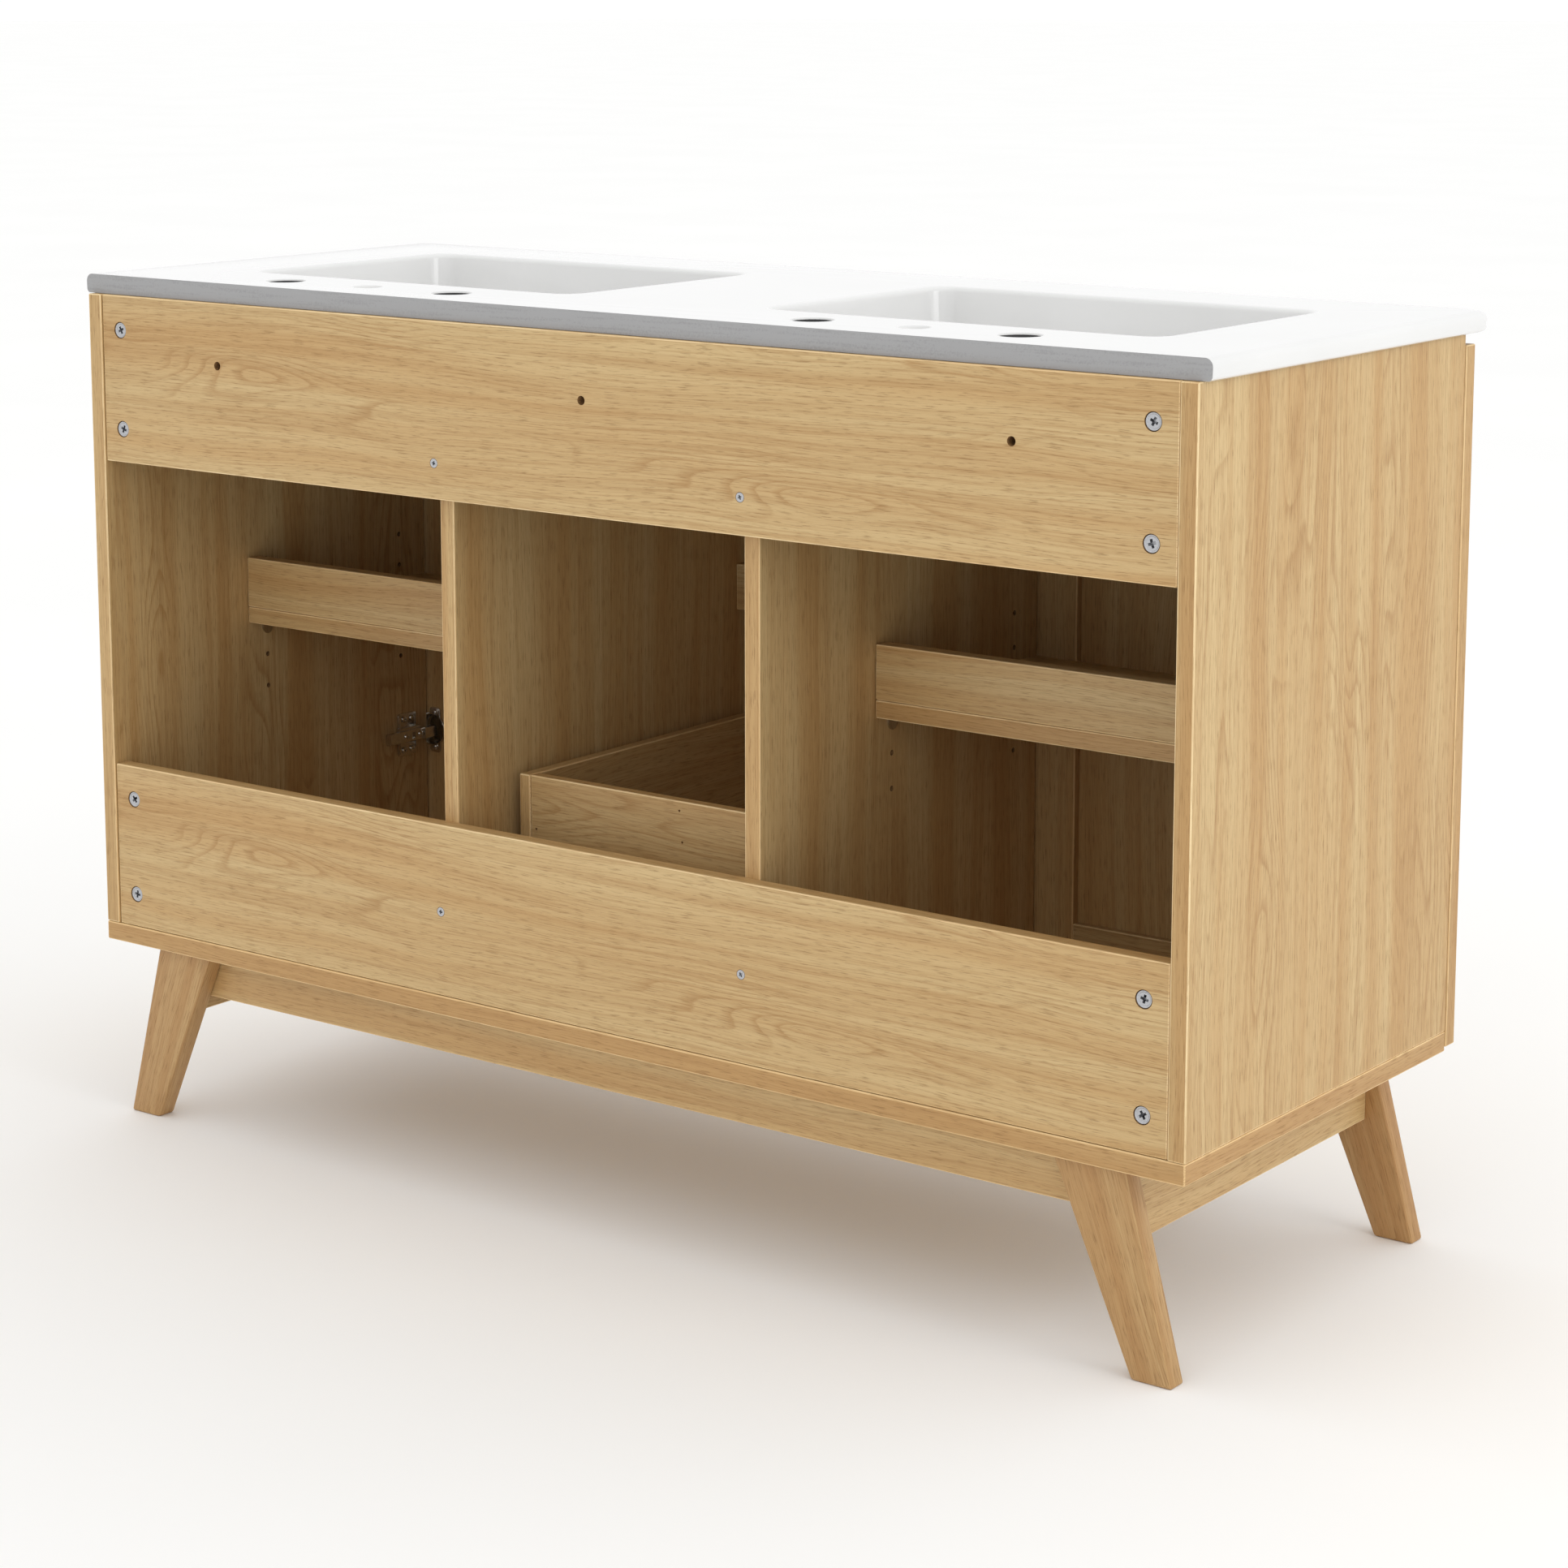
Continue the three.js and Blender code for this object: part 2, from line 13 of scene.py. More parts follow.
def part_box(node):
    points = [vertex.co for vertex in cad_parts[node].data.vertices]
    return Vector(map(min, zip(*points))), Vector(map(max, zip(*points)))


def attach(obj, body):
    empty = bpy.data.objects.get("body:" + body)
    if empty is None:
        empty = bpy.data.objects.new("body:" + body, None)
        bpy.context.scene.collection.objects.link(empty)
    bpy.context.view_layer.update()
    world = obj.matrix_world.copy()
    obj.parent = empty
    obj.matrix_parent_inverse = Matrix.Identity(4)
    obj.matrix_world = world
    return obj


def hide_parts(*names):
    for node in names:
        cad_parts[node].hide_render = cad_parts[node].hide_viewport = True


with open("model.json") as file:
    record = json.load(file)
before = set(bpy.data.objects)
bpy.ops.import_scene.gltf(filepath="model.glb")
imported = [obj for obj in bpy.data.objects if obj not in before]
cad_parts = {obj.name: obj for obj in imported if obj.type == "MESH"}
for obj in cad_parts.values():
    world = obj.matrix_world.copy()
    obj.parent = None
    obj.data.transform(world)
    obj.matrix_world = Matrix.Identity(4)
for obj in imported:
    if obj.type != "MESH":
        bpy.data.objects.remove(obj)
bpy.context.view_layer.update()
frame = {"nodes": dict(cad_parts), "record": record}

bl_info = {
    "name": "Double-basin vanity cabinet",
    "version": (1, 0, 0),
    "blender": (4, 5, 0),
    "location": "3D View > Sidebar > Vanity",
    "description": "Boards, ceramic top and fittings of a free-standing double-basin vanity",
    "category": "Add Mesh",
}

MM = 0.001
SIDES = (("left", -1), ("right", 1))
X, Y, Z = Vector((1, 0, 0)), Vector((0, 1, 0)), Vector((0, 0, 1))
RECORD = frame["record"]
OPENINGS = {opening["name"]: opening["box_m"] for opening in RECORD["physics"]["openings"]}
BODY_OF = {node: body for body, nodes in RECORD["behaviour"]["bodies"].items() for node in nodes}


def linear(hex_colour):
    """Linear RGB of an sRGB colour given as 0xRRGGBB."""
    channels = [(hex_colour >> shift & 255) / 255 for shift in (16, 8, 0)]
    return [c / 12.92 if c <= 0.04045 else ((c + 0.055) / 1.055) ** 2.4 for c in channels]


def length(name, millimetres, description):
    """A length that the sidebar shows in metres."""
    return FloatProperty(name=name, description=description, default=millimetres * MM, min=0, unit="LENGTH",
                         precision=4)


def colour(name, hex_colour, description):
    """A colour that the sidebar shows as a swatch."""
    return FloatVectorProperty(name=name, description=description, default=linear(hex_colour), subtype="COLOR",
                               size=3, min=0, max=1)


# ---- sizes and colours ------------------------------------------------------------------------------
class BoardSizes(bpy.types.PropertyGroup):
    """Details of the laminated boards."""
    edge_round: length("Edge rounding", 1.1, "Radius scraped onto every banded edge")
    leg_round: length("Leg rounding", 2.5, "Radius along the legs' edges")
    leg_top: length("Leg top width", 68, "Width of a leg under the bottom panel")
    leg_foot: length("Leg foot width", 37.5, "Width of a leg on the floor")
    stile: length("Stile width", 48, "Width of the doors' stiles and rails")
    sunk_field: length("Sunk field", 2.5, "Depth of the field in the middle fronts")
    notch_height: length("Divider height", 690, "Top of the dividers under the basins")
    horn_depth: length("Divider horn", 44, "Depth of the divider's front horn")
    wall_hole: length("Wall hole radius", 4, "Radius of the wall-screw holes in the upper rail")
    pin_hole: length("Pin hole radius", 2.5, "Radius of the shelf-pin holes")
    pin_hole_depth: length("Pin hole depth", 9, "Depth of the shelf-pin holes")
    pin_pitch: length("Pin pitch", 32, "Distance between shelf-pin holes")
    pin_first: length("Lowest pin", 389.5, "Height of the lowest shelf-pin hole")
    pin_rear: length("Rear pin row", 32.5, "Place of the rear row of pin holes, from front to back")
    pin_front: length("Front pin row", 161, "Distance of the front row of pin holes in front of the middle")
    pin_count: IntProperty(name="Pin holes", description="Holes in each row", default=5, min=1)
    pilot: length("Pilot radius", 2.3, "Radius of the pilot bores for the small screws")
    nail: length("Nail hole radius", 1.1, "Radius of the nail holes in the drawer's back board")


class TopSizes(bpy.types.PropertyGroup):
    """Details of the ceramic top."""
    edge_round: length("Edge radius", 7, "Radius of the upper front and side edges")
    corner: length("Corner radius", 16, "Radius of the slab's front corners in plan")
    basin_width: length("Basin width", 388, "Inner width of a basin at the rim")
    basin_depth: length("Basin depth", 262, "Inner size of a basin from front to back")
    basin_deep: length("Basin fall", 108, "Depth of a basin below the top")
    basin_corner: length("Basin corner", 34, "Radius of the basin's corners in plan")
    heel: length("Heel radius", 30, "Radius between the basin's walls and its bottom")
    slant: length("Wall slant", 7, "How far the walls lean in towards the bottom")
    rim: length("Rim radius", 5, "Radius between the basin's walls and the top")
    wall: length("Wall thickness", 10, "Thickness of the basins' walls")
    tap_hole: length("Tap hole radius", 17.5, "Radius of the open tap holes")
    knock_out: length("Knock-out radius", 13, "Radius of the closed tap hole's recess")
    knock_out_deep: length("Knock-out depth", 3, "Depth of the closed tap hole's recess")
    drain: length("Drain radius", 22.5, "Radius of the drain hole")


class FittingSizes(bpy.types.PropertyGroup):
    """Details of the metal fittings."""
    clearance: length("Clearance", 0.3, "Gap round a fitting in its bore")
    cam_slot: length("Cam slot", 2.7, "Width of the cam lock's cross recess")
    cam_slot_length: length("Cam slot length", 10, "Length of the cam lock's cross recess")
    screw_slot: length("Screw slot", 1.6, "Width of a screw's cross recess")
    screw_slot_length: length("Screw slot length", 5.4, "Length of a screw's cross recess")
    pan_head: length("Pan head radius", 3.3, "Radius of the hinge screws' heads")
    support_drop: length("Support drop", 3.5, "Axis of a shelf support's pin below the shelf")
    support_half: length("Support half width", 7, "Half the width of a shelf support's cheek")
    support_hang: length("Support hang", 11, "How far the cheek hangs below its pin")
    support_tongue: length("Support tongue", 13, "How far the tongue reaches under the shelf")
    hinge_sheet: length("Hinge sheet", 1.2, "Thickness of the hinges' pressed sheet")
    flange_in: length("Flange, inwards", 12, "From the cup's middle to the flange's edge inside the door")
    flange_out: length("Flange, outwards", 3, "From the cup's middle to the flange's edge near the side panel")
    cup_screw: length("Cup screws", 18.5, "Height of the flange's screws above and below the cup's middle")
    plate_from_rear: length("Hinge plate place", 36, "From the arm's rear end to the middle of its plate")
    plate_half: length("Hinge plate half depth", 13.5, "Half the plate's size from front to back")
    saddle_half: length("Hinge saddle half depth", 15.5, "Half the saddle's size from front to back")
    arm_half: length("Hinge arm half height", 6, "Half the height of the arm's channel")


class Finishes(bpy.types.PropertyGroup):
    """Colours of the finishes."""
    oak_light: colour("Oak, light", 0xCEB280, "Early wood of the printed oak")
    oak_mid: colour("Oak, middle", 0xC19C67, "Main tone of the printed oak")
    oak_dark: colour("Oak, dark", 0xA57B46, "Late wood of the printed oak")
    oak_pore: colour("Oak, pores", 0x7F5A2B, "Pores of the printed oak")
    core: colour("Chipboard", 0x9A7448, "Raw chipboard inside a drilled hole")
    glaze: colour("Glaze", 0xE4E4E3, "White glaze")
    bisque: colour("Bisque", 0xA2A2A3, "Unglazed ground ceramic")
    # painted shade: the tap holes' walls are painted near black for the shade deep inside them
    bore: colour("Tap bore", 0x3C3C3D, "Unglazed, soiled walls of the tap holes")
    zinc: colour("Zinc", 0xC4C5C8, "Die-cast zinc and zinc-plated steel")
    nickel: colour("Nickel", 0xDAD7D0, "Nickel plate on the hinges")
    brass: colour("Brass", 0xC29A52, "Brushed brass of the knobs")
    floor: colour("Floor", 0xF9F9F8, "Studio floor")


class StageSettings(bpy.types.PropertyGroup):
    """Camera and light."""
    eye: FloatVectorProperty(name="Camera", description="Where the camera stands", subtype="TRANSLATION",
                             size=3, unit="LENGTH", default=(-1.958, 2.5705, 1.1095))
    turn: FloatProperty(name="Turn", description="Camera's turn from looking along -Y towards +X",
                        subtype="ANGLE", default=0.6424)
    tilt: FloatProperty(name="Tilt", description="Camera's tilt below the horizon", subtype="ANGLE",
                        default=0.1623)
    lens: FloatProperty(name="Lens", description="Focal length in millimetres on a 36 mm sensor",
                        default=83.32)
    sky: FloatProperty(name="Sky", description="Strength of the soft light from all sides", default=1.07)
    shift: FloatProperty(name="Shift", description="Upright lens shift, as a share of the frame",
                         default=-0.15)
    lamp_at: FloatVectorProperty(name="Lamp", description="Where the soft box stands", subtype="TRANSLATION",
                                 size=3, unit="LENGTH", default=(-4.2, 0.2, 2.2))
    lamp_size: length("Lamp size", 2000, "Width and height of the soft box")
    lamp_power: FloatProperty(name="Lamp power", description="Power of the soft box in watts", default=28)
    floor_radius: length("Floor radius", 60000, "Radius of the studio floor")


# ---- shaping ----------------------------------------------------------------------------------------
def activate(piece):
    """Makes a piece the only selected and the active one."""
    bpy.ops.object.select_all(action="DESELECT")
    piece.select_set(True)
    bpy.context.view_layer.objects.active = piece
    return piece


def settle(name=None):
    """Names the object that was just added and puts its place, turn and scale into its mesh."""
    piece = bpy.context.object
    if name:
        piece.name = piece.data.name = name
    activate(piece)
    bpy.ops.object.transform_apply(location=True, rotation=True, scale=True)
    return piece


def block(low, high, name=None):
    """A cube primitive drawn out between two corners."""
    low, high = Vector(low), Vector(high)
    bpy.ops.mesh.primitive_cube_add(size=1, location=(low + high) / 2)
    bpy.context.object.scale = high - low
    return settle(name)


def bore(centre, way, radius, depth, sides=24):
    """A round cutter, its middle at `centre` and its axis along `way`."""
    turn = Vector(way).to_track_quat("Z", "Y").to_euler()
    bpy.ops.mesh.primitive_cylinder_add(vertices=sides, radius=radius, depth=depth, location=centre,
                                        rotation=turn)
    return settle()


def pick(piece, kind, wanted):
    """Opens a piece for shaping, with the parts selected for which wanted(middle, way) holds.

    `way` is the normal of a vertex or face, and the direction of an edge."""
    activate(piece)
    bpy.ops.object.mode_set(mode="EDIT")
    bpy.ops.mesh.select_mode(type=kind)
    bpy.ops.mesh.select_all(action="DESELECT")
    bpy.ops.object.mode_set(mode="OBJECT")
    mesh = piece.data
    if kind == "VERT":
        for vertex in mesh.vertices:
            vertex.select = wanted(vertex.co, vertex.normal)
    elif kind == "EDGE":
        for edge in mesh.edges:
            a, b = (mesh.vertices[i].co for i in edge.vertices)
            edge.select = wanted((a + b) / 2, (b - a).normalized())
    else:
        for face in mesh.polygons:
            face.select = wanted(face.center, face.normal)
    bpy.ops.object.mode_set(mode="EDIT")


def close():
    """Ends the shaping of a piece."""
    bpy.ops.object.mode_set(mode="OBJECT")


def round_edges(piece, radius, segments=2, wanted=lambda middle, way: True):
    """Rounds the wanted edges."""
    pick(piece, "EDGE", wanted)
    bpy.ops.mesh.bevel(offset=radius, offset_type="OFFSET", segments=segments, profile=0.5, affect="EDGES")
    close()
    return piece


def join(pieces, name=None):
    """Makes one object of several, each still a closed body."""
    activate(pieces[0])
    for piece in pieces[1:]:
        piece.select_set(True)
    if len(pieces) > 1:
        bpy.ops.object.join()
    if name:
        pieces[0].name = pieces[0].data.name = name
    return pieces[0]


def work(piece, tools, operation="DIFFERENCE"):
    """Cuts tools out of a piece, or welds them on. Cut faces keep the tools' material index."""
    tool = join(tools)
    modifier = piece.modifiers.new("work", "BOOLEAN")
    modifier.operation = operation
    modifier.solver = "EXACT"
    modifier.object = tool
    activate(piece)
    bpy.ops.object.modifier_apply(modifier=modifier.name)
    bpy.data.objects.remove(tool)
    return piece


def loft(start, way, rings, centre, name=None):
    """Draws a flat start shape out along `way` ring by ring. A ring is (travel, scale across, scale along)."""
    piece = start
    way = Vector(way)
    pick(piece, "FACE", lambda middle, normal: True)
    for travel, first, second in rings:
        bpy.ops.mesh.extrude_region_move(TRANSFORM_OT_translate={"value": way * travel})
        centre = centre + way * travel
        if way == Z:
            scale = (first, second, 1)
        elif abs(way.y) == 1:
            scale = (first, 1, second)
        else:
            scale = (1, first, second)
        bpy.ops.transform.resize(value=scale, center_override=centre)
    bpy.ops.mesh.select_all(action="SELECT")
    bpy.ops.mesh.normals_make_consistent(inside=False)
    close()
    if name:
        piece.name = piece.data.name = name
    return piece


def turned(profile, centre, way, sides=32, name=None):
    """A turned body: profile is (distance along `way`, radius) from one flat end to the other."""
    turn = Vector(way).to_track_quat("Z", "Y").to_euler()
    at = Vector(centre) + Vector(way) * profile[0][0]
    bpy.ops.mesh.primitive_circle_add(vertices=sides, radius=profile[0][1], fill_type="NGON", location=at,
                                      rotation=turn)
    start = settle()
    rings = [(b[0] - a[0], b[1] / a[1], b[1] / a[1]) for a, b in zip(profile, profile[1:])]
    return loft(start, way, rings, at, name)


def quarter(steps):
    """(sine, cosine) at even steps from 0 to 90 degrees."""
    angles = [math.pi / 2 * i / steps for i in range(steps + 1)]
    return [(math.sin(a), math.cos(a)) for a in angles]


def tub(width, depth, corner, rings, centre, segments=10):
    """A body on a rounded rectangle. rings are (height, inset), lowest first."""
    low, inset = rings[0]
    at = Vector((centre[0], centre[1], low))
    bpy.ops.mesh.primitive_plane_add(size=1, location=at)
    bpy.context.object.scale = (width - 2 * inset, depth - 2 * inset, 1)
    start = settle()
    pick(start, "VERT", lambda middle, normal: True)
    bpy.ops.mesh.bevel(offset=corner, offset_type="OFFSET", segments=segments, profile=0.5, affect="VERTICES")
    close()
    layers = []
    for (z0, i0), (z1, i1) in zip(rings, rings[1:]):
        layers.append((z1 - z0, (width - 2 * i1) / (width - 2 * i0), (depth - 2 * i1) / (depth - 2 * i0)))
    return loft(start, Z, layers, at)


def smooth(piece, degrees=32):
    """Shades a piece smooth, with edges kept where it turns by more than `degrees`."""
    activate(piece)
    bpy.ops.object.shade_smooth_by_angle(angle=math.radians(degrees))
    return piece


def copy_to(master, name, place):
    """A copy of a piece with a mesh of its own, moved to `place`."""
    piece = master.copy()
    piece.data = master.data.copy()
    piece.name = piece.data.name = name
    piece.data.transform(place if isinstance(place, Matrix) else Matrix.Translation(place))
    bpy.context.scene.collection.objects.link(piece)
    return piece


def fit(piece, nodes=(), body=None):
    """Hands a finished piece to the frame: the body it rides on and the nodes it stands for."""
    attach(piece, body or BODY_OF[nodes[0]])
    if nodes:
        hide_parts(*nodes)
    return piece


def rear_middle(node):
    """The middle of the rear face of a CAD node's box."""
    low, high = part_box(node)
    return Vector(((low.x + high.x) / 2, high.y, (low.z + high.z) / 2))


def round_size(node):
    """Radius and depth of a round CAD node with its axis along Y."""
    low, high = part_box(node)
    return (high.x - low.x) / 2, high.y - low.y


def opening(name):
    """The two corners of one of the record's openings."""
    low, high = OPENINGS[name]
    return Vector(low), Vector(high)


def grown(low, high, gap):
    """A box's corners moved outwards by `gap`."""
    spare = Vector((gap, gap, gap))
    return low - spare, high + spare


def paint(piece, *materials):
    """Gives a piece these materials and no others."""
    piece.data.materials.clear()
    for material in materials:
        piece.data.materials.append(material)
    return piece


# ---- materials --------------------------------------------------------------------------------------
def add_node(tree, kind, sockets=None, **settings):
    """Adds a node with its settings. `sockets` gives each input a value or the output that feeds it."""
    node = tree.nodes.new("ShaderNode" + kind)
    for name, value in settings.items():
        setattr(node, name, value)
    for key, value in (sockets or {}).items():
        if isinstance(value, bpy.types.NodeSocket):
            tree.links.new(value, node.inputs[key])
        else:
            node.inputs[key].default_value = value
    return node


def ramp(tree, value, *stops):
    """The colour for a value. stops are (value, colour or grey)."""
    node = add_node(tree, "ValToRGB", {"Fac": value})
    elements = node.color_ramp.elements
    while len(elements) < len(stops):
        elements.new(1)
    for element, (position, tone) in zip(elements, stops):
        element.position = position
        element.color = (tone, tone, tone, 1) if isinstance(tone, (int, float)) else (*tone, 1)
    return node.outputs["Color"]


def remap(tree, value, start, end, low, high):
    """Carries values from `start` to `end` over to `low` to `high`, and holds the ones beyond."""
    sockets = {"Value": value, "From Min": start, "From Max": end, "To Min": low, "To Max": high}
    return add_node(tree, "MapRange", sockets).outputs["Result"]


def rescale(tree, place, scale):
    """Coordinates multiplied by a factor for each axis."""
    return add_node(tree, "Mapping", {"Vector": place, "Scale": scale}).outputs["Vector"]


def noise(tree, place, scale, detail, roughness=0.5, **settings):
    """Noise from 0 to 1, `scale` lumps to a unit of `place`."""
    sockets = {"Vector": place, "Scale": scale, "Detail": detail, "Roughness": roughness}
    return add_node(tree, "TexNoise", sockets, **settings).outputs["Fac"]


def solid_place(tree):
    """The place on a piece, in metres."""
    return add_node(tree, "TexCoord").outputs["Object"]


def start_material(name, **sockets):
    """A material with one Principled shader, its constants set on the shader's own sockets."""
    material = bpy.data.materials.new(name)
    material.use_nodes = True
    tree = material.node_tree
    shader = tree.nodes["Principled BSDF"]
    for key, value in sockets.items():
        shader.inputs[key.replace("_", " ")].default_value = value
    return material, tree, shader


def finish(tree, shader, tone, height, strength, depth, invert=False):
    """Feeds the shader its colour, and its normal from a relief `depth` millimetres deep."""
    tree.links.new(tone, shader.inputs["Base Color"])
    sockets = {"Height": height, "Strength": strength, "Distance": depth * MM}
    bump = add_node(tree, "Bump", sockets, invert=invert)
    tree.links.new(bump.outputs["Normal"], shader.inputs["Normal"])


def material_once(build, *arguments):
    """The material that build makes, made once and then shared."""
    name = arguments[0]
    return bpy.data.materials.get(name) or build(*arguments)


def oak_print(name, crown, shade=(1, 1, 1)):
    """Oak decor paper sealed under a satin melamine film: soft streaks, fine pores pressed into the film, and
    on the crown-cut print patches where late wood bends into arches. The eye gets a warm, slightly uneven tone
    and a dull sheen. `shade` tones the whole print."""
    finishes = bpy.context.scene.vanity_finishes
    light, mid, dark, ink = ([c * s for c, s in zip(tone, shade)] for tone in (
        finishes.oak_light, finishes.oak_mid, finishes.oak_dark, finishes.oak_pore))
    material, tree, shader = start_material(name, IOR=1.48)
    sheet = rescale(tree, add_node(tree, "UVMap", uv_map="grain").outputs["UV"], (1 / MM, 1 / MM, 1))

    def streaks(vector, run, width, detail, roughness=0.55):
        """Noise drawn out along the grain: `run` and `width` in millimetres."""
        drawn = rescale(tree, vector, (1 / run, 1 / width, 1))
        return noise(tree, drawn, 1, detail, roughness, noise_dimensions="2D")

    def combine(operation, *values):
        return add_node(tree, "Math", dict(enumerate(values)), operation=operation).outputs["Value"]

    # The fibres wander 10 mm or so to either side over a length of about half a metre.
    wander = streaks(sheet, 420, 75, 1)
    moved = add_node(tree, "VectorMath", {0: wander, 1: (0, 22, 0), 2: sheet}, operation="MULTIPLY_ADD")
    sheet = moved.outputs["Vector"]

    bands = streaks(sheet, 1500, 40, 2)
    long_streaks = streaks(sheet, 700, 7, 4, 0.6)
    fibres = streaks(sheet, 150, 1.5, 4, 0.65)
    # Real pores are 0.3 mm wide: drawn 1.1 mm wide so that they show.
    pores = streaks(sheet, 20, 1.1, 3, 0.6)

    tone = ramp(tree, bands, (0.36, light), (0.66, mid))
    layers = [(long_streaks, 0.45, 0.72, 0.34, dark), (fibres, 0.46, 0.66, 0.42, dark)]
    if crown:
        # Late wood lies in thin lines. In patches they bend into arches, elsewhere they fade away.
        bend = streaks(sheet, 300, 58, 1, 0.4)
        across = add_node(tree, "SeparateXYZ", {"Vector": sheet}).outputs["Y"]
        phase = combine("MULTIPLY_ADD", bend, 12, combine("DIVIDE", across, 15))
        line = combine("FRACT", combine("MULTIPLY_ADD", fibres, 0.3, phase))
        line = ramp(tree, line, (0.55, 0), (0.9, 1), (0.97, 0))
        patch = remap(tree, streaks(sheet, 380, 70, 1), 0.46, 0.6, 0, 1)
        layers.append((combine("MULTIPLY", line, patch), 0.0, 1.0, 0.6, dark))
    layers.append((pores, 0.55, 0.72, 0.5, ink))
    colour_a, colour_b, colour_out = 6, 7, 2  # the mix node's sockets for colours
    for value, start, end, strength, mark in layers:
        amount = remap(tree, value, start, end, 0, strength)
        mix = add_node(tree, "Mix", {"Factor": amount}, data_type="RGBA")
        tree.links.new(tone, mix.inputs[colour_a])
        mix.inputs[colour_b].default_value = (*mark, 1)
        tone = mix.outputs[colour_out]
    tree.links.new(remap(tree, pores, 0.4, 0.75, 0.42, 0.6), shader.inputs["Roughness"])
    finish(tree, shader, tone, pores, 0.35, 0.08, invert=True)
    return material


def chipboard(name):
    """Raw chipboard inside drilled holes: pressed chips a few millimetres long, dull and uneven."""
    material, tree, shader = start_material(name, Roughness=0.9, IOR=1.45)
    core = bpy.context.scene.vanity_finishes.core
    chips = add_node(tree, "TexVoronoi", {"Vector": solid_place(tree), "Scale": 1 / (2.5 * MM)})
    chips = chips.outputs["Distance"]
    tone = ramp(tree, chips, (0.1, [c * 0.55 for c in core]), (0.8, core[:]))
    finish(tree, shader, tone, chips, 0.6, 0.3)
    return material


def glazed_ceramic(name):
    """Vitreous china, slip-cast and spray-glazed: clear gloss over white with a faint orange peel, a little
    thinner and greyer in places."""
    glaze = bpy.context.scene.vanity_finishes.glaze
    material, tree, shader = start_material(name, IOR=1.52, Coat_Weight=0.3, Coat_Roughness=0.04)
    place = solid_place(tree)
    cloud = noise(tree, place, 1 / (120 * MM), 2)
    tone = ramp(tree, cloud, (0.35, glaze[:]), (0.7, [c * 0.965 for c in glaze]))
    tree.links.new(remap(tree, cloud, 0, 1, 0.07, 0.14), shader.inputs["Roughness"])
    finish(tree, shader, tone, noise(tree, place, 1 / (9 * MM), 1), 0.12, 0.06)
    return material


def ground_bisque(name, bisque):
    """Fired body without glaze, ground flat on the rear edge and underside: matt grey with fine grit and
    faint grinding marks along the slab."""
    material, tree, shader = start_material(name, Roughness=0.8, IOR=1.5)
    place = solid_place(tree)
    grit = noise(tree, place, 1 / (1.5 * MM), 3)
    marks = noise(tree, rescale(tree, place, (1 / (60 * MM), 1 / (3 * MM), 1 / (2.5 * MM))), 1, 2)
    both = add_node(tree, "Math", {0: grit, 1: marks}, operation="ADD").outputs["Value"]
    tone = ramp(tree, both, (0.7, [c * 0.86 for c in bisque]), (1.0, bisque[:]))
    finish(tree, shader, tone, both, 0.3, 0.15)
    return material


def worn_metal(name, tint, roughness, grain, run):
    """Bare or plated metal. `grain` is the width in millimetres of its marks and `run` how far along Z they
    are drawn out: about 1 for a casting, more where it was brushed or rolled."""
    material, tree, shader = start_material(name, Metallic=1.0)
    across = 1 / (grain * MM)
    marks = noise(tree, rescale(tree, solid_place(tree), (across, across, across / run)), 1, 3)
    tone = ramp(tree, marks, (0.3, [c * 0.8 for c in tint]), (0.7, tint[:]))
    rough = remap(tree, marks, 0, 1, roughness * 0.7, roughness * 1.4)
    tree.links.new(rough, shader.inputs["Roughness"])
    finish(tree, shader, tone, marks, 0.25, 0.04)
    return material


def die_cast_zinc():
    """Die-cast and barrel-finished zinc: soft grey with a dull pebbled gloss."""
    zinc = bpy.context.scene.vanity_finishes.zinc
    return material_once(worn_metal, "die_cast_zinc", zinc, 0.36, 0.8, 1)


def nickel_plate():
    """Bright nickel plate on pressed steel: warm dark reflections, slightly drawn from the press."""
    nickel = bpy.context.scene.vanity_finishes.nickel
    return material_once(worn_metal, "nickel_plated_steel", nickel, 0.22, 1.2, 3)


def rolled_steel():
    """Rolled zinc-plated steel strip: pale, faintly streaked and half dull."""
    zinc = bpy.context.scene.vanity_finishes.zinc
    return material_once(worn_metal, "rolled_zinc_plated_steel", zinc, 0.32, 1, 6)


def brushed_brass():
    """Turned and brushed brass under lacquer: satin gold with fine marks round the knob."""
    brass = bpy.context.scene.vanity_finishes.brass
    return material_once(worn_metal, "brushed_brass", brass, 0.24, 0.5, 5)


# ---- boards -----------------------------------------------------------------------------------------
# The fourth slot holds a board's rounded corners, printed pale as a painted highlight.
FACE, EDGE, CORE, PAINTED_HIGHLIGHT = 0, 1, 2, 3
EDGE_SHADE = (0.93, 0.88, 0.82)  # edge banding is a little browner than the faces
PAINTED_HIGHLIGHT_TONE = (1.45, 1.6, 1.9)  # painted highlight: the band's rounded corners are printed pale for the light they catch
LEG_SHADE = (0.84, 0.74, 0.66)  # the legs are stained solid wood, browner than the print


def board_materials(piece, crown):
    """Gives a board or its cutter its finishes: broad faces, banded edges, raw core, and rounded corners
    printed pale as a painted highlight.
    """
    face = "oak_print_crown_cut" if crown else "oak_print_quarter_cut"
    paint(piece,
          material_once(oak_print, face, crown),
          material_once(oak_print, "oak_edge_band", False, EDGE_SHADE),
          material_once(chipboard, "raw_chipboard"),
          # painted highlight: a pale copy of the edge band for the rounded corners
          material_once(oak_print, "oak_edge_band_scraped", False, PAINTED_HIGHLIGHT_TONE))


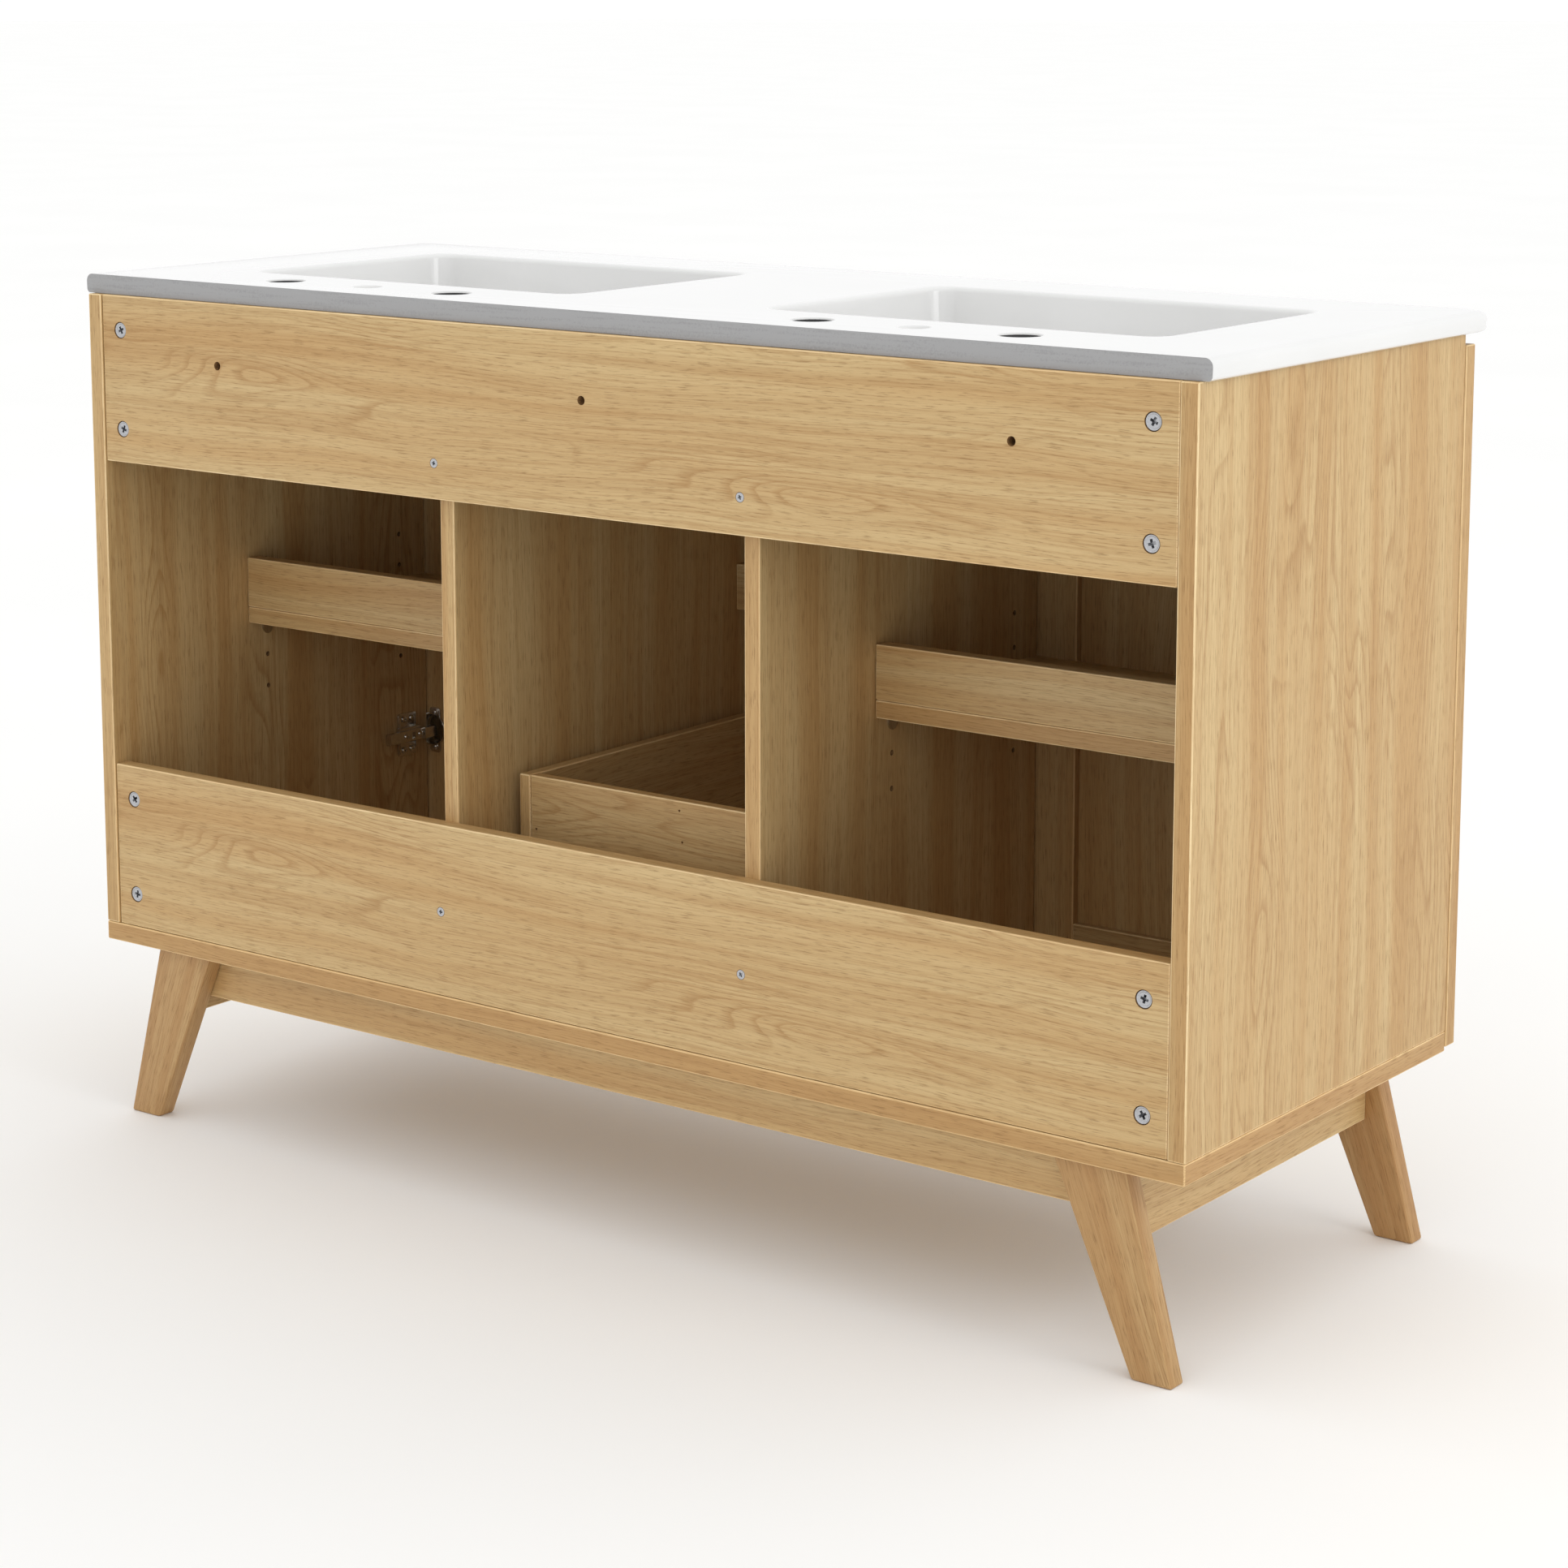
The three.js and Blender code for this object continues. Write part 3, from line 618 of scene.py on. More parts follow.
def lay_grain(piece, along, cut_at):
    """Writes the "grain" UV map in metres, U with the grain and V across it. `cut_at` is where on the printed
    sheet the board was cut. Faces across the grain are banded along their longer side."""
    mesh = piece.data
    corners = [v.co for v in mesh.vertices]
    low = Vector(min(c[i] for c in corners) for i in range(3))
    size = Vector(max(c[i] for c in corners) for i in range(3)) - low
    along = Vector(along).normalized()
    ends = sorted((X, Y, Z), key=lambda axis: size.dot(axis) * (abs(axis.dot(along)) < 0.8))
    layer = mesh.uv_layers.get("grain") or mesh.uv_layers.new(name="grain")
    for face in mesh.polygons:
        way = along if abs(face.normal.dot(along)) < 0.75 else ends[-1]
        way = (way - face.normal * face.normal.dot(way)).normalized()
        across = face.normal.cross(way)
        for loop in face.loop_indices:
            place = mesh.vertices[mesh.loops[loop].vertex_index].co - low
            layer.data[loop].uv = (place.dot(way) + cut_at[0], place.dot(across) + cut_at[1])


def drill(piece, tools, crown=False):
    """Cuts bores and slots into a board and leaves raw core on their walls."""
    tool = join(tools)
    board_materials(tool, crown)
    for face in tool.data.polygons:
        face.material_index = CORE
    return work(piece, [tool])


def dress(piece, along, cut_at, thin=None):
    """Sorts a board's faces into broad faces, edges and rounded corners printed pale as a painted highlight,
    and lays the grain.
    """
    mesh = piece.data
    thin = thin or min((X, Y, Z), key=lambda axis: piece.dimensions.dot(axis))
    square = 0.99  # the least cosine of a face that lies square to an axis
    for face in mesh.polygons:
        if face.material_index == CORE:
            continue
        if abs(face.normal.dot(thin)) > square:
            face.material_index = FACE
        else:
            # faces of a rounded corner take the pale painted highlight
            face.material_index = EDGE if max(abs(part) for part in face.normal) > square else PAINTED_HIGHLIGHT
    lay_grain(piece, along, cut_at)
    return piece


def blank(name, low, high, crown=False, notches=(), radius=None):
    """A board sawn to size, notched and with its edges rounded."""
    piece = block(low, high, name)
    board_materials(piece, crown)
    if notches:
        drill(piece, [block(*notch) for notch in notches], crown)
        for face in piece.data.polygons:
            face.material_index = FACE
    return round_edges(piece, radius or bpy.context.scene.vanity_boards.edge_round)


def board(node, along, cut_at, crown=False, notches=(), tools=()):
    """One finished board in the place of a CAD node. `cut_at` is the place on the printed sheet, in metres:
    any will do, but boards that share one look alike."""
    piece = blank("oak_" + node, *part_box(node), crown, notches)
    if tools:
        drill(piece, tools, crown)
    dress(piece, along, cut_at)
    return fit(piece, [node])


def pin_bores(face):
    """Cutters for the rows of shelf-pin holes in the face at x = `face`."""
    sizes = bpy.context.scene.vanity_boards
    cutters = []
    for y in (sizes.pin_rear, -sizes.pin_front):
        for i in range(sizes.pin_count):
            at = Vector((face, y, sizes.pin_first + i * sizes.pin_pitch))
            cutters.append(bore(at, X, sizes.pin_hole, 2 * sizes.pin_hole_depth, 16))
    return cutters


class VANITY_OT_carcass(bpy.types.Operator):
    """Bottom panel, side panels and dividers"""
    bl_idname = "vanity.carcass"
    bl_label = "Carcass"

    def execute(self, context):
        sizes = context.scene.vanity_boards
        board("bottom_panel", X, (0.3, 2.1))
        for i, (side, s) in enumerate(SIDES):
            low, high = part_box(f"side_panel_{side}")
            inner = high.x if s < 0 else low.x
            board(f"side_panel_{side}", Z, (3.2 + 1.7 * i, 0.4), crown=True, tools=pin_bores(inner))
            low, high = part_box(f"divider_{side}")
            outer = high.x if s > 0 else low.x
            notch_low = Vector((low.x - MM, low.y + sizes.horn_depth, sizes.notch_height))
            behind_horn = (notch_low, high + Vector((1, 1, 1)) * MM)
            screws = [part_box(f"screw_{rail}_{side}") for rail in ("upper", "lower")]
            bores = [bore((a + b) / 2, Y, sizes.pilot, b.y - a.y, 16) for a, b in screws]
            bores += pin_bores(outer)
            board(f"divider_{side}", Z, (6.1 + 1.3 * i, 1.1), notches=[behind_horn], tools=bores)
        return {"FINISHED"}


class VANITY_OT_rails(bpy.types.Operator):
    """Back rails with their cam-lock, screw and wall holes, and the front rails"""
    bl_idname = "vanity.rails"
    bl_label = "Rails"

    def execute(self, context):
        sizes = context.scene.vanity_boards
        gap = context.scene.vanity_fittings.clearance
        for rail in ("upper", "lower"):
            cutters = []
            for side, _ in SIDES:
                for i in (1, 2):
                    cam = f"cam_lock_{rail}_{side}_{i}"
                    radius, deep = round_size(cam)
                    cutters.append(bore(rear_middle(cam), Y, radius + gap, 2 * (deep + gap), 48))
                screw = f"screw_{rail}_{side}"
                head, shank = round_size(screw)[0] + gap, sizes.pilot
                sink = [(-18 * MM, shank), (shank - head, shank), (0, head), (MM, head)]
                cutters.append(turned(sink, rear_middle(screw), Y, 24))
            if rail == "upper":
                for i in (1, 2, 3):
                    low, high = opening(f"wall_screw_hole_{i}")
                    through = high.y - low.y + 2 * MM
                    cutters.append(bore((low + high) / 2, Y, sizes.wall_hole, through, 32))
            # Both rails carry the same stretch of the printed sheet.
            board(f"back_rail_{rail}", X, (0.0, 0.0), crown=True, tools=cutters)
        board("front_rail_top", X, (2.6, 0.9))
        board("front_rail_middle", X, (4.4, 0.7))
        return {"FINISHED"}


class VANITY_OT_shelves(bpy.types.Operator):
    """Shelves, each with an upstand on its rear edge"""
    bl_idname = "vanity.shelves"
    bl_label = "Shelves"

    def execute(self, context):
        for i, (side, _) in enumerate(SIDES):
            board(f"shelf_{side}", X, (5.0 + i, 0.2))
            board(f"shelf_upstand_{side}", X, (7.3 + i, 0.35))
        return {"FINISHED"}


class VANITY_OT_legs(bpy.types.Operator):
    """Splayed, tapered legs and the aprons between them"""
    bl_idname = "vanity.legs"
    bl_label = "Legs and aprons"

    def execute(self, context):
        sizes = context.scene.vanity_boards
        for i, (side, s) in enumerate(SIDES):
            for j, place in enumerate(("rear", "front")):
                self.leg(f"leg_{place}_{side}", s, sizes, (9.1 + 2 * i + j, 0.6))
            board(f"apron_{side}", Y, (1.3 + i, 1.7))
        board("apron_rear", X, (2.2, 1.5))
        board("apron_front", X, (3.4, 1.4))
        return {"FINISHED"}

    def leg(self, node, s, sizes, cut_at):
        low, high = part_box(node)
        piece = block(low, high, "oak_" + node)
        paint(piece, material_once(oak_print, "oak_stained_leg", False, LEG_SHADE))
        width = high.x - low.x
        inner, outer = (low.x, high.x) if s > 0 else (high.x, low.x)
        pick(piece, "VERT", lambda at, way: abs(at.x - outer) < MM and at.z > high.z - MM)
        bpy.ops.transform.translate(value=(s * (sizes.leg_top - width), 0, 0))
        close()
        pick(piece, "VERT", lambda at, way: abs(at.x - inner) < MM and at.z < low.z + MM)
        bpy.ops.transform.translate(value=(s * (width - sizes.leg_foot), 0, 0))
        close()
        round_edges(piece, sizes.leg_round, 3, lambda at, way: at.z < high.z - MM)
        lean = Vector((s * (width - (sizes.leg_top + sizes.leg_foot) / 2), 0, low.z - high.z))
        lay_grain(piece, lean, cut_at)
        fit(smooth(piece, 25), [node])


# ---- ceramic top ------------------------------------------------------------------------------------
class VANITY_OT_ceramic_top(bpy.types.Operator):
    """Ceramic slab with two basins, tap holes and drains"""
    bl_idname = "vanity.ceramic_top"
    bl_label = "Ceramic top"

    def bowl(self, sizes, centre, top, grow, rim):
        """A basin's surface, `grow` outside its inner face: flat bottom, heel, leaning wall and rolled rim."""
        heel = sizes.heel + grow
        low = top - sizes.basin_deep - grow
        rings = [(low + heel * (1 - cosine), sizes.slant + heel * (1 - sine)) for sine, cosine in quarter(8)]
        if rim:
            rings += [(top - rim + rim * sine, -rim * (1 - cosine)) for sine, cosine in quarter(6)]
            rings.append((top + 2 * MM, -rim))
        else:
            rings.append((top - 12 * MM, 0))
        corner = sizes.basin_corner + grow - rings[0][1] * 0.5
        return tub(sizes.basin_width + 2 * grow, sizes.basin_depth + 2 * grow, corner, rings, centre)

    def execute(self, context):
        sizes = context.scene.vanity_top
        low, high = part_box("ceramic_top")
        top = high.z
        slab_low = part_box("side_panel_left")[1].z + 0.3 * MM
        spare = 40 * MM
        edge = sizes.edge_round
        rings = [(slab_low, 3.2 * MM), (slab_low + MM, 1.4 * MM), (slab_low + 3 * MM, 0.2 * MM)]
        rings += [(top - edge + edge * sine, edge * (1 - cosine)) for sine, cosine in quarter(8)]
        middle_y = (low.y + high.y + spare) / 2
        slab = tub(high.x - low.x, high.y - low.y + spare, sizes.corner, rings, (0, middle_y))
        pick(slab, "FACE", lambda at, way: True)
        bpy.ops.mesh.bisect(plane_co=(0, high.y, 0), plane_no=(0, 1, 0), use_fill=True, clear_outer=True)
        close()
        centres = {}
        for side, _ in SIDES:
            a, b = opening(f"drain_{side}")
            centres[side] = (a + b) / 2
        work(slab, [self.bowl(sizes, at, top, sizes.wall, 0) for at in centres.values()], "UNION")
        work(slab, [self.bowl(sizes, at, top, 0, sizes.rim) for at in centres.values()])
        cutters, taps = [], []
        for side, at in centres.items():
            floor = top - sizes.basin_deep
            drain = [(-30 * MM, sizes.drain), (-2 * MM, sizes.drain), (-0.6 * MM, sizes.drain + 0.6 * MM),
                     (0.5 * MM, sizes.drain + 3 * MM)]
            cutters.append(turned(drain, (at.x, at.y, floor), Z, 64))
            for which in ("outer", "inner"):
                a, b = opening(f"tap_hole_{which}_{side}")
                taps.append((a + b) / 2)
                r = sizes.tap_hole
                hole = [(-40 * MM, r), (-1.5 * MM, r), (-0.5 * MM, r + 0.5 * MM), (0.5 * MM, r + 1.9 * MM)]
                cutters.append(turned(hole, (taps[-1].x, taps[-1].y, top), Z, 64))
            between = (taps[-1] + taps[-2]) / 2
            r, deep = sizes.knock_out, sizes.knock_out_deep
            dish = [(-deep, r - 1.5 * MM), (-deep + 0.5 * MM, r - 0.5 * MM), (-MM, r),
                    (0.5 * MM, r + 1.5 * MM)]
            cutters.append(turned(dish, (between.x, between.y, top), Z, 48))
        work(slab, cutters)
        slab.name = slab.data.name = "glazed_ceramic_top"
        finishes = context.scene.vanity_finishes
        # the third material is painted shade: dark bisque for the walls of the tap holes
        glazed, bare, shaded = 0, 1, 2
        paint(slab,
              material_once(glazed_ceramic, "glazed_vitreous_china"),
              material_once(ground_bisque, "ground_bisque", finishes.bisque),
              # painted shade inside the tap holes
              material_once(ground_bisque, "soiled_bisque_in_bores", finishes.bore))
        bore_reach = sizes.tap_hole + 0.3 * MM
        for face in slab.data.polygons:
            at = face.center
            rear = face.normal.y > 0.9 and at.y > high.y - 0.1 * MM
            under = face.normal.z < -0.9 and at.z < slab_low + 0.1 * MM
            # faces of the tap holes more than 1.2 mm below the top take the painted shade
            bored = at.z < top - 1.2 * MM and any((at - tap).to_2d().length < bore_reach for tap in taps)
            face.material_index = shaded if bored else bare if rear or under else glazed
        fit(smooth(slab), ["ceramic_top"])
        return {"FINISHED"}


# ---- doors and fronts -------------------------------------------------------------------------------
class VANITY_OT_doors(bpy.types.Operator):
    """Framed doors with sunk panels, and the two middle fronts"""
    bl_idname = "vanity.doors"
    bl_label = "Doors and fronts"

    def execute(self, context):
        sizes = context.scene.vanity_boards
        gap = context.scene.vanity_fittings.clearance
        for i, (side, _) in enumerate(SIDES):
            self.door(side, sizes, gap, 13.7 + 3 * i)
        for i, node in enumerate(("false_front", "drawer_front")):
            low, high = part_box(node)
            piece = blank("oak_" + node, low, high)
            pick(piece, "FACE", lambda at, way: way.y < -0.999)
            bpy.ops.mesh.inset(thickness=sizes.stile, depth=0)
            bpy.ops.mesh.extrude_region_move(TRANSFORM_OT_translate={"value": (0, sizes.sunk_field, 0)})
            close()
            dress(piece, X, (17.1 + 2 * i, 0.8))
            fit(piece, [node])
        return {"FINISHED"}

    def door(self, side, sizes, gap, cut_at):
        low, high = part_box(f"door_frame_{side}")
        across, up = X * sizes.stile, Z * sizes.stile
        seam = Vector((0.1 * MM, 0, 0))
        parts = [
            (low, Vector((low.x, high.y, high.z)) + across, Z),
            (Vector((high.x, low.y, low.z)) - across, high, Z),
            (low + across + seam, Vector((high.x, high.y, low.z)) - across - seam + up, X),
            (Vector((low.x, low.y, high.z)) + across + seam - up, high - across - seam, X),
        ]
        groove = grown(*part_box(f"door_panel_{side}"), gap)
        pieces = []
        for i, (a, b, along) in enumerate(parts):
            part = blank(f"part_{i}", a, b)
            drill(part, [block(*groove)])
            dress(part, along, (cut_at + 0.4 * i, 0.3 + 0.11 * i), thin=Y)
            pieces.append(part)
        frame_piece = join(pieces, f"oak_door_frame_{side}")
        cups = []
        for where in ("lower", "upper"):
            # The cup is the round part of the node, and its flange is narrower.
            node = f"hinge_cup_{side}_{where}"
            at, deep = rear_middle(node), high.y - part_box(node)[0].y
            at.y = high.y
            cups.append(bore(at, Y, round_size(node)[0] + gap, 2 * (deep + gap), 48))
        drill(frame_piece, cups)
        lay_cut_walls(frame_piece)
        fit(frame_piece, [f"door_frame_{side}"])
        board(f"door_panel_{side}", Z, (cut_at + 2.2, 1.3))


def lay_cut_walls(piece):
    """Gives the walls of late cuts a place on the grain map, so that they don't show one drawn-out colour."""
    layer = piece.data.uv_layers["grain"]
    for face in piece.data.polygons:
        if face.material_index == CORE:
            for loop in face.loop_indices:
                place = piece.data.vertices[piece.data.loops[loop].vertex_index].co
                layer.data[loop].uv = (place.x + place.y, place.z)


# ---- drawer -----------------------------------------------------------------------------------------
class VANITY_OT_drawer(bpy.types.Operator):
    """Drawer box: grooved sides and back, bottom"""
    bl_idname = "vanity.drawer"
    bl_label = "Drawer box"

    def execute(self, context):
        sizes = context.scene.vanity_boards
        gap = context.scene.vanity_fittings.clearance
        groove = grown(*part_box("drawer_bottom"), gap)
        for i, (side, s) in enumerate(SIDES):
            board(f"drawer_side_{side}", Y, (19.3 + i, 0.5), tools=[block(*groove)])
        back_low, back_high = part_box("drawer_back")
        middle_x = (back_low.x + back_high.x) / 2
        # Two staples' pin holes in the middle, and two nails at each end.
        spots = [(middle_x - 35 * MM, 0.95), (middle_x - 38 * MM, 0.79)]
        spots += [(s * (back_high.x - 6 * MM), share) for s in (-1, 1) for share in (0.3, 0.72)]
        nails = []
        for x, share in spots:
            z = back_low.z + share * (back_high.z - back_low.z)
            nails.append(bore((x, back_high.y, z), Y, sizes.nail, 3 * MM, 12))
        board("drawer_back", X, (21.6, 0.5), crown=True, tools=[block(*groove)] + nails)
        board("drawer_bottom", X, (23.2, 0.5))
        return {"FINISHED"}


# ---- metal fittings ---------------------------------------------------------------------------------
def cross_cutter(centre, way, width, span, depth, turn):
    """A cross-shaped cutter with leaning walls, sunk `depth` into the face at `centre`."""
    arms = []
    for right_angle in (0, math.pi / 2):
        arm = block((-span / 2, -width / 2, -depth), (span / 2, width / 2, depth))
        pick(arm, "FACE", lambda at, normal: normal.z < -0.9)
        bpy.ops.transform.resize(value=(0.45, 0.7, 1), center_override=(0, 0, -depth))
        close()
        matrix = Matrix.Translation(centre) @ Vector(way).to_track_quat("Z", "X").to_matrix().to_4x4()
        arm.data.transform(matrix @ Matrix.Rotation(turn + right_angle, 4, "Z"))
        arms.append(arm)
    return arms


def recess(piece, arms):
    """Cuts a cross recess, one arm after the other because they overlap."""
    for arm in arms:
        work(piece, [arm])
    return piece


class VANITY_OT_fixings(bpy.types.Operator):
    """Cam locks and countersunk screws in the back rails"""
    bl_idname = "vanity.fixings"
    bl_label = "Cam locks and screws"

    def execute(self, context):
        sizes = context.scene.vanity_fittings
        origin = Vector((0, 0, 0))
        r, deep = round_size("cam_lock_upper_left_1")
        # A cast disc with a raised rim and a shallow dished face.
        profile = [(-deep, r - 0.5 * MM), (-deep + 0.5 * MM, r), (-1.3 * MM, r), (-0.6 * MM, r - 0.6 * MM),
                   (-0.5 * MM, r - 1.1 * MM), (-0.7 * MM, r - 1.6 * MM), (-1.2 * MM, r - 2 * MM)]
        cam = turned(profile, origin, Y, 48, "cam")
        recess(cam, cross_cutter(origin - Y * 1.2 * MM, Y, sizes.cam_slot, sizes.cam_slot_length, 4 * MM, 0))
        smooth(paint(cam, die_cast_zinc()))
        head, deep = round_size("screw_upper_left")
        shank = 2 * MM
        profile = [(-deep, 0.3 * MM), (-deep + 4 * MM, shank), (shank - head, shank), (-0.35 * MM, head),
                   (0, head - 0.2 * MM)]
        screw = turned(profile, origin, Y, 32, "screw")
        recess(screw, cross_cutter(origin, Y, sizes.screw_slot, sizes.screw_slot_length, 2 * MM, 0))
        smooth(paint(screw, die_cast_zinc()))
        count = 0
        for rail in ("upper", "lower"):
            for side, _ in SIDES:
                nodes = [(cam, f"cam_lock_{rail}_{side}_{i}") for i in (1, 2)]
                nodes.append((screw, f"screw_{rail}_{side}"))
                for master, node in nodes:
                    # Each was left at its own turn.
                    turn = Matrix.Rotation(math.radians(18 + 47 * count), 4, "Y")
                    place = Matrix.Translation(rear_middle(node)) @ turn
                    fit(copy_to(master, "zinc_" + node, place), [node])
                    count += 1
        bpy.data.objects.remove(cam)
        bpy.data.objects.remove(screw)
        return {"FINISHED"}


def pan_screw(centre, way, turn, sizes):
    """A pan-head screw, its head standing on the face at `centre`."""
    r, shank = sizes.pan_head, 1.6 * MM
    skirt, dome = 0.4 * MM, 1.8 * MM
    profile = [(-4 * MM, shank), (0, shank), (0.01 * MM, r)]
    profile += [(skirt + dome * sine, r * cosine ** 0.6) for sine, cosine in quarter(7)[1:-1]]
    screw = turned(profile, centre, way, 24)
    top = Vector(centre) + Vector(way) * (skirt + dome)
    return recess(screw, cross_cutter(top, way, sizes.screw_slot * 0.65, r, MM, turn))


class VANITY_OT_hinges(bpy.types.Operator):
    """Concealed hinges: a cup in the door, and an arm on a mounting plate on the side panel"""
    bl_idname = "vanity.hinges"
    bl_label = "Hinges"

    def execute(self, context):
        sizes = context.scene.vanity_fittings
        for side, s in SIDES:
            for where in ("lower", "upper"):
                self.cup(f"hinge_cup_{side}_{where}", s, sizes)
                self.arm(f"hinge_arm_{side}_{where}", s, sizes)
        return {"FINISHED"}

    def cup(self, node, s, sizes):
        low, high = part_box(node)
        at = rear_middle(node)
        r, deep = round_size(node)
        shell = [(-deep, r - 2 * MM), (-deep + MM, r - 0.6 * MM), (-deep + 3 * MM, r), (-0.3 * MM, r),
                 (0, r - 0.3 * MM)]
        cup = turned(shell, at, Y, 48, "nickel_" + node)
        left, right = sorted((-s * sizes.flange_in, s * sizes.flange_out))
        a = Vector((at.x + left, high.y - sizes.hinge_sheet, low.z))
        b = Vector((at.x + right, high.y - 0.05 * MM, high.z))
        flange = round_edges(block(a, b), 4 * MM, 5, lambda mid, way: abs(way.y) > 0.9)
        round_edges(flange, 0.4 * MM, 2, lambda mid, way: mid.y > b.y - 0.01 * MM)
        work(cup, [flange], "UNION")
        hollow = turned([(-deep + 1.6 * MM, r - 4 * MM), (-deep + 3 * MM, r - 2 * MM), (-MM, r - 1.6 * MM),
                         (0.5 * MM, r - 1.2 * MM)], at, Y, 48)
        work(cup, [hollow])
        screws = []
        for i, way in enumerate((-1, 1)):
            spot = Vector(((a.x + b.x) / 2, b.y, at.z + way * sizes.cup_screw))
            screws.append(pan_screw(spot, Y, 0.5 + i, sizes))
        fit(smooth(paint(join([cup] + screws), nickel_plate())), [node])

    def arm(self, node, s, sizes):
        low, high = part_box(node)
        wall = high.x if s > 0 else low.x
        mid_z = (low.z + high.z) / 2
        front, rear = low.y, high.y
        plate_y = rear - sizes.plate_from_rear
        half, plate_half, saddle_half, arm_half = (
            (high.z - low.z) / 2, sizes.plate_half, sizes.saddle_half, sizes.arm_half)

        def part(near, far, y0, y1, half_height, radius, chosen):
            """A block between two distances from the side panel, with its chosen edges rounded."""
            xs = sorted((wall - s * near * MM, wall - s * far * MM))
            piece = block((xs[0], y0, mid_z - half_height), (xs[1], y1, mid_z + half_height))
            return round_edges(piece, radius * MM, 4, chosen)

        def along_x(at, way):
            return abs(way.x) > 0.9

        def outward(at, way):
            return abs(way.y) > 0.9 and abs(at.x - wall) > 2.5 * MM

        plate = part(0, 2, plate_y - plate_half, plate_y + plate_half, half, 3, along_x)
        round_edges(plate, 0.5 * MM, 2, lambda at, way: abs(at.x - wall) > 1.99 * MM)
        others = [
            part(0, 4, plate_y + 11.5 * MM, plate_y + 13 * MM, half - 3 * MM, 0.5, along_x),  # folded lip
            part(1, 7, plate_y - saddle_half, plate_y + saddle_half, 8 * MM, 2.4, outward),  # saddle
            part(5, 12, front + 14 * MM, rear, arm_half, 1.6, outward),  # channel
            part(8, 15.5, front, front + 17 * MM, arm_half, 1.5, outward),  # tongue towards the cup
        ]
        for other in others:
            work(plate, [other], "UNION")
        work(plate, [part(9, 14, plate_y - 2 * MM, plate_y + 3.5 * MM, 3.6 * MM, 0.6, along_x)])
        plate.name = plate.data.name = "nickel_" + node
        # Four screws through the plate and two through the channel: out, along and up in millimetres, turn.
        spots = [(2, off_y, off_z, 0.6) for off_y in (-6.7, 5.7) for off_z in (-16.5, 16.5)]
        spots += [(11.9, off_y, 0, 0.9) for off_y in (-9.2, 12)]
        screws = []
        for out, off_y, off_z, turn in spots:
            spot = Vector((wall - s * out * MM, plate_y + off_y * MM, mid_z + off_z * MM))
            screws.append(pan_screw(spot, X * -s, turn, sizes))
        fit(smooth(paint(join([plate] + screws), nickel_plate())), [node])


class VANITY_OT_knobs(bpy.types.Operator):
    """Turned knobs on the doors and the drawer"""
    bl_idname = "vanity.knobs"
    bl_label = "Knobs"

    def execute(self, context):
        r, reach = round_size("knob_drawer")
        foot, neck = 6 * MM, 4.6 * MM
        profile = [(0, foot), (0.8 * MM, foot), (1.6 * MM, foot - 0.7 * MM), (4 * MM, neck), (8.5 * MM, neck),
                   (9.6 * MM, neck + 1.2 * MM)]
        half = (reach - 10 * MM) / 2
        for i in range(1, 16):
            a = -math.pi / 2 + math.pi * i / 16
            profile.append((10 * MM + half + half * math.sin(a), r * math.cos(a) ** 0.7))
        master = smooth(turned(profile, Vector((0, 0, 0)), -Y, 64, "knob"))
        paint(master, brushed_brass())
        for node in ("knob_door_left", "knob_door_right", "knob_drawer"):
            fit(copy_to(master, "brass_" + node, rear_middle(node)), [node])
        bpy.data.objects.remove(master)
        return {"FINISHED"}


class VANITY_OT_shelf_pins(bpy.types.Operator):
    """Pressed steel supports under the shelves: a pin in its hole, a hanging cheek and a tongue"""
    bl_idname = "vanity.shelf_pins"
    bl_label = "Shelf supports"

    def support(self, name, at, under, s, boards, sizes):
        """`at` is the mouth of the pin's hole, `under` the shelf's underside, `s` the side it points to."""
        sheet, gap = 1.5 * MM, 0.1 * MM
        half = sizes.support_half
        top = under - gap
        xs = sorted((at.x, at.x + s * sheet))
        cheek = block((xs[0], at.y - half, at.z - sizes.support_hang), (xs[1], at.y + half, top), name)
        round_edges(cheek, half - gap, 6, lambda mid, way: abs(way.x) > 0.9 and mid.z < at.z)
        xs = sorted((at.x, at.x + s * sizes.support_tongue))
        half_tongue = half - 2 * MM
        tongue = block((xs[0], at.y - half_tongue, top - sheet), (xs[1], at.y + half_tongue, top))
        round_edges(tongue, 0.5 * MM, 2, lambda mid, way: abs(mid.x - at.x) > sheet)
        shank = boards.pin_hole - 0.15 * MM
        rivet = 3.2 * MM
        profile = [(-7.5 * MM, shank - 0.6 * MM), (-7 * MM, shank), (sheet, shank), (sheet + 0.01 * MM, rivet),
                   (sheet + 0.8 * MM, rivet * 0.9), (sheet + 1.3 * MM, rivet * 0.5)]
        pin = turned(profile, at, X * s, 24)
        work(cheek, [tongue], "UNION")
        work(cheek, [pin], "UNION")
        return smooth(paint(cheek, nickel_plate()))

    def execute(self, context):
        boards, sizes = context.scene.vanity_boards, context.scene.vanity_fittings
        for side, s in SIDES:
            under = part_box(f"shelf_{side}")[0].z
            panel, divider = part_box(f"side_panel_{side}"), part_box(f"divider_{side}")
            near, far = (0, 1) if s > 0 else (1, 0)
            faces = [(panel[near].x, -s, "outer"), (divider[far].x, s, "inner")]
            for face, into, where in faces:
                for y, row in ((boards.pin_rear, "rear"), (-boards.pin_front, "front")):
                    at = Vector((face, y, under - sizes.support_drop))
                    name = f"steel_shelf_pin_{side}_{where}_{row}"
                    fit(self.support(name, at, under, into, boards, sizes), body="carcass")
        return {"FINISHED"}


class VANITY_OT_runners(bpy.types.Operator):
    """Rolled-steel finish on the drawer runners"""
    bl_idname = "vanity.runners"
    bl_label = "Drawer runners"

    def execute(self, context):
        for side, _ in SIDES:
            for member in ("cabinet", "drawer"):
                paint(frame["nodes"][f"slide_{member}_{side}"], rolled_steel())
        return {"FINISHED"}


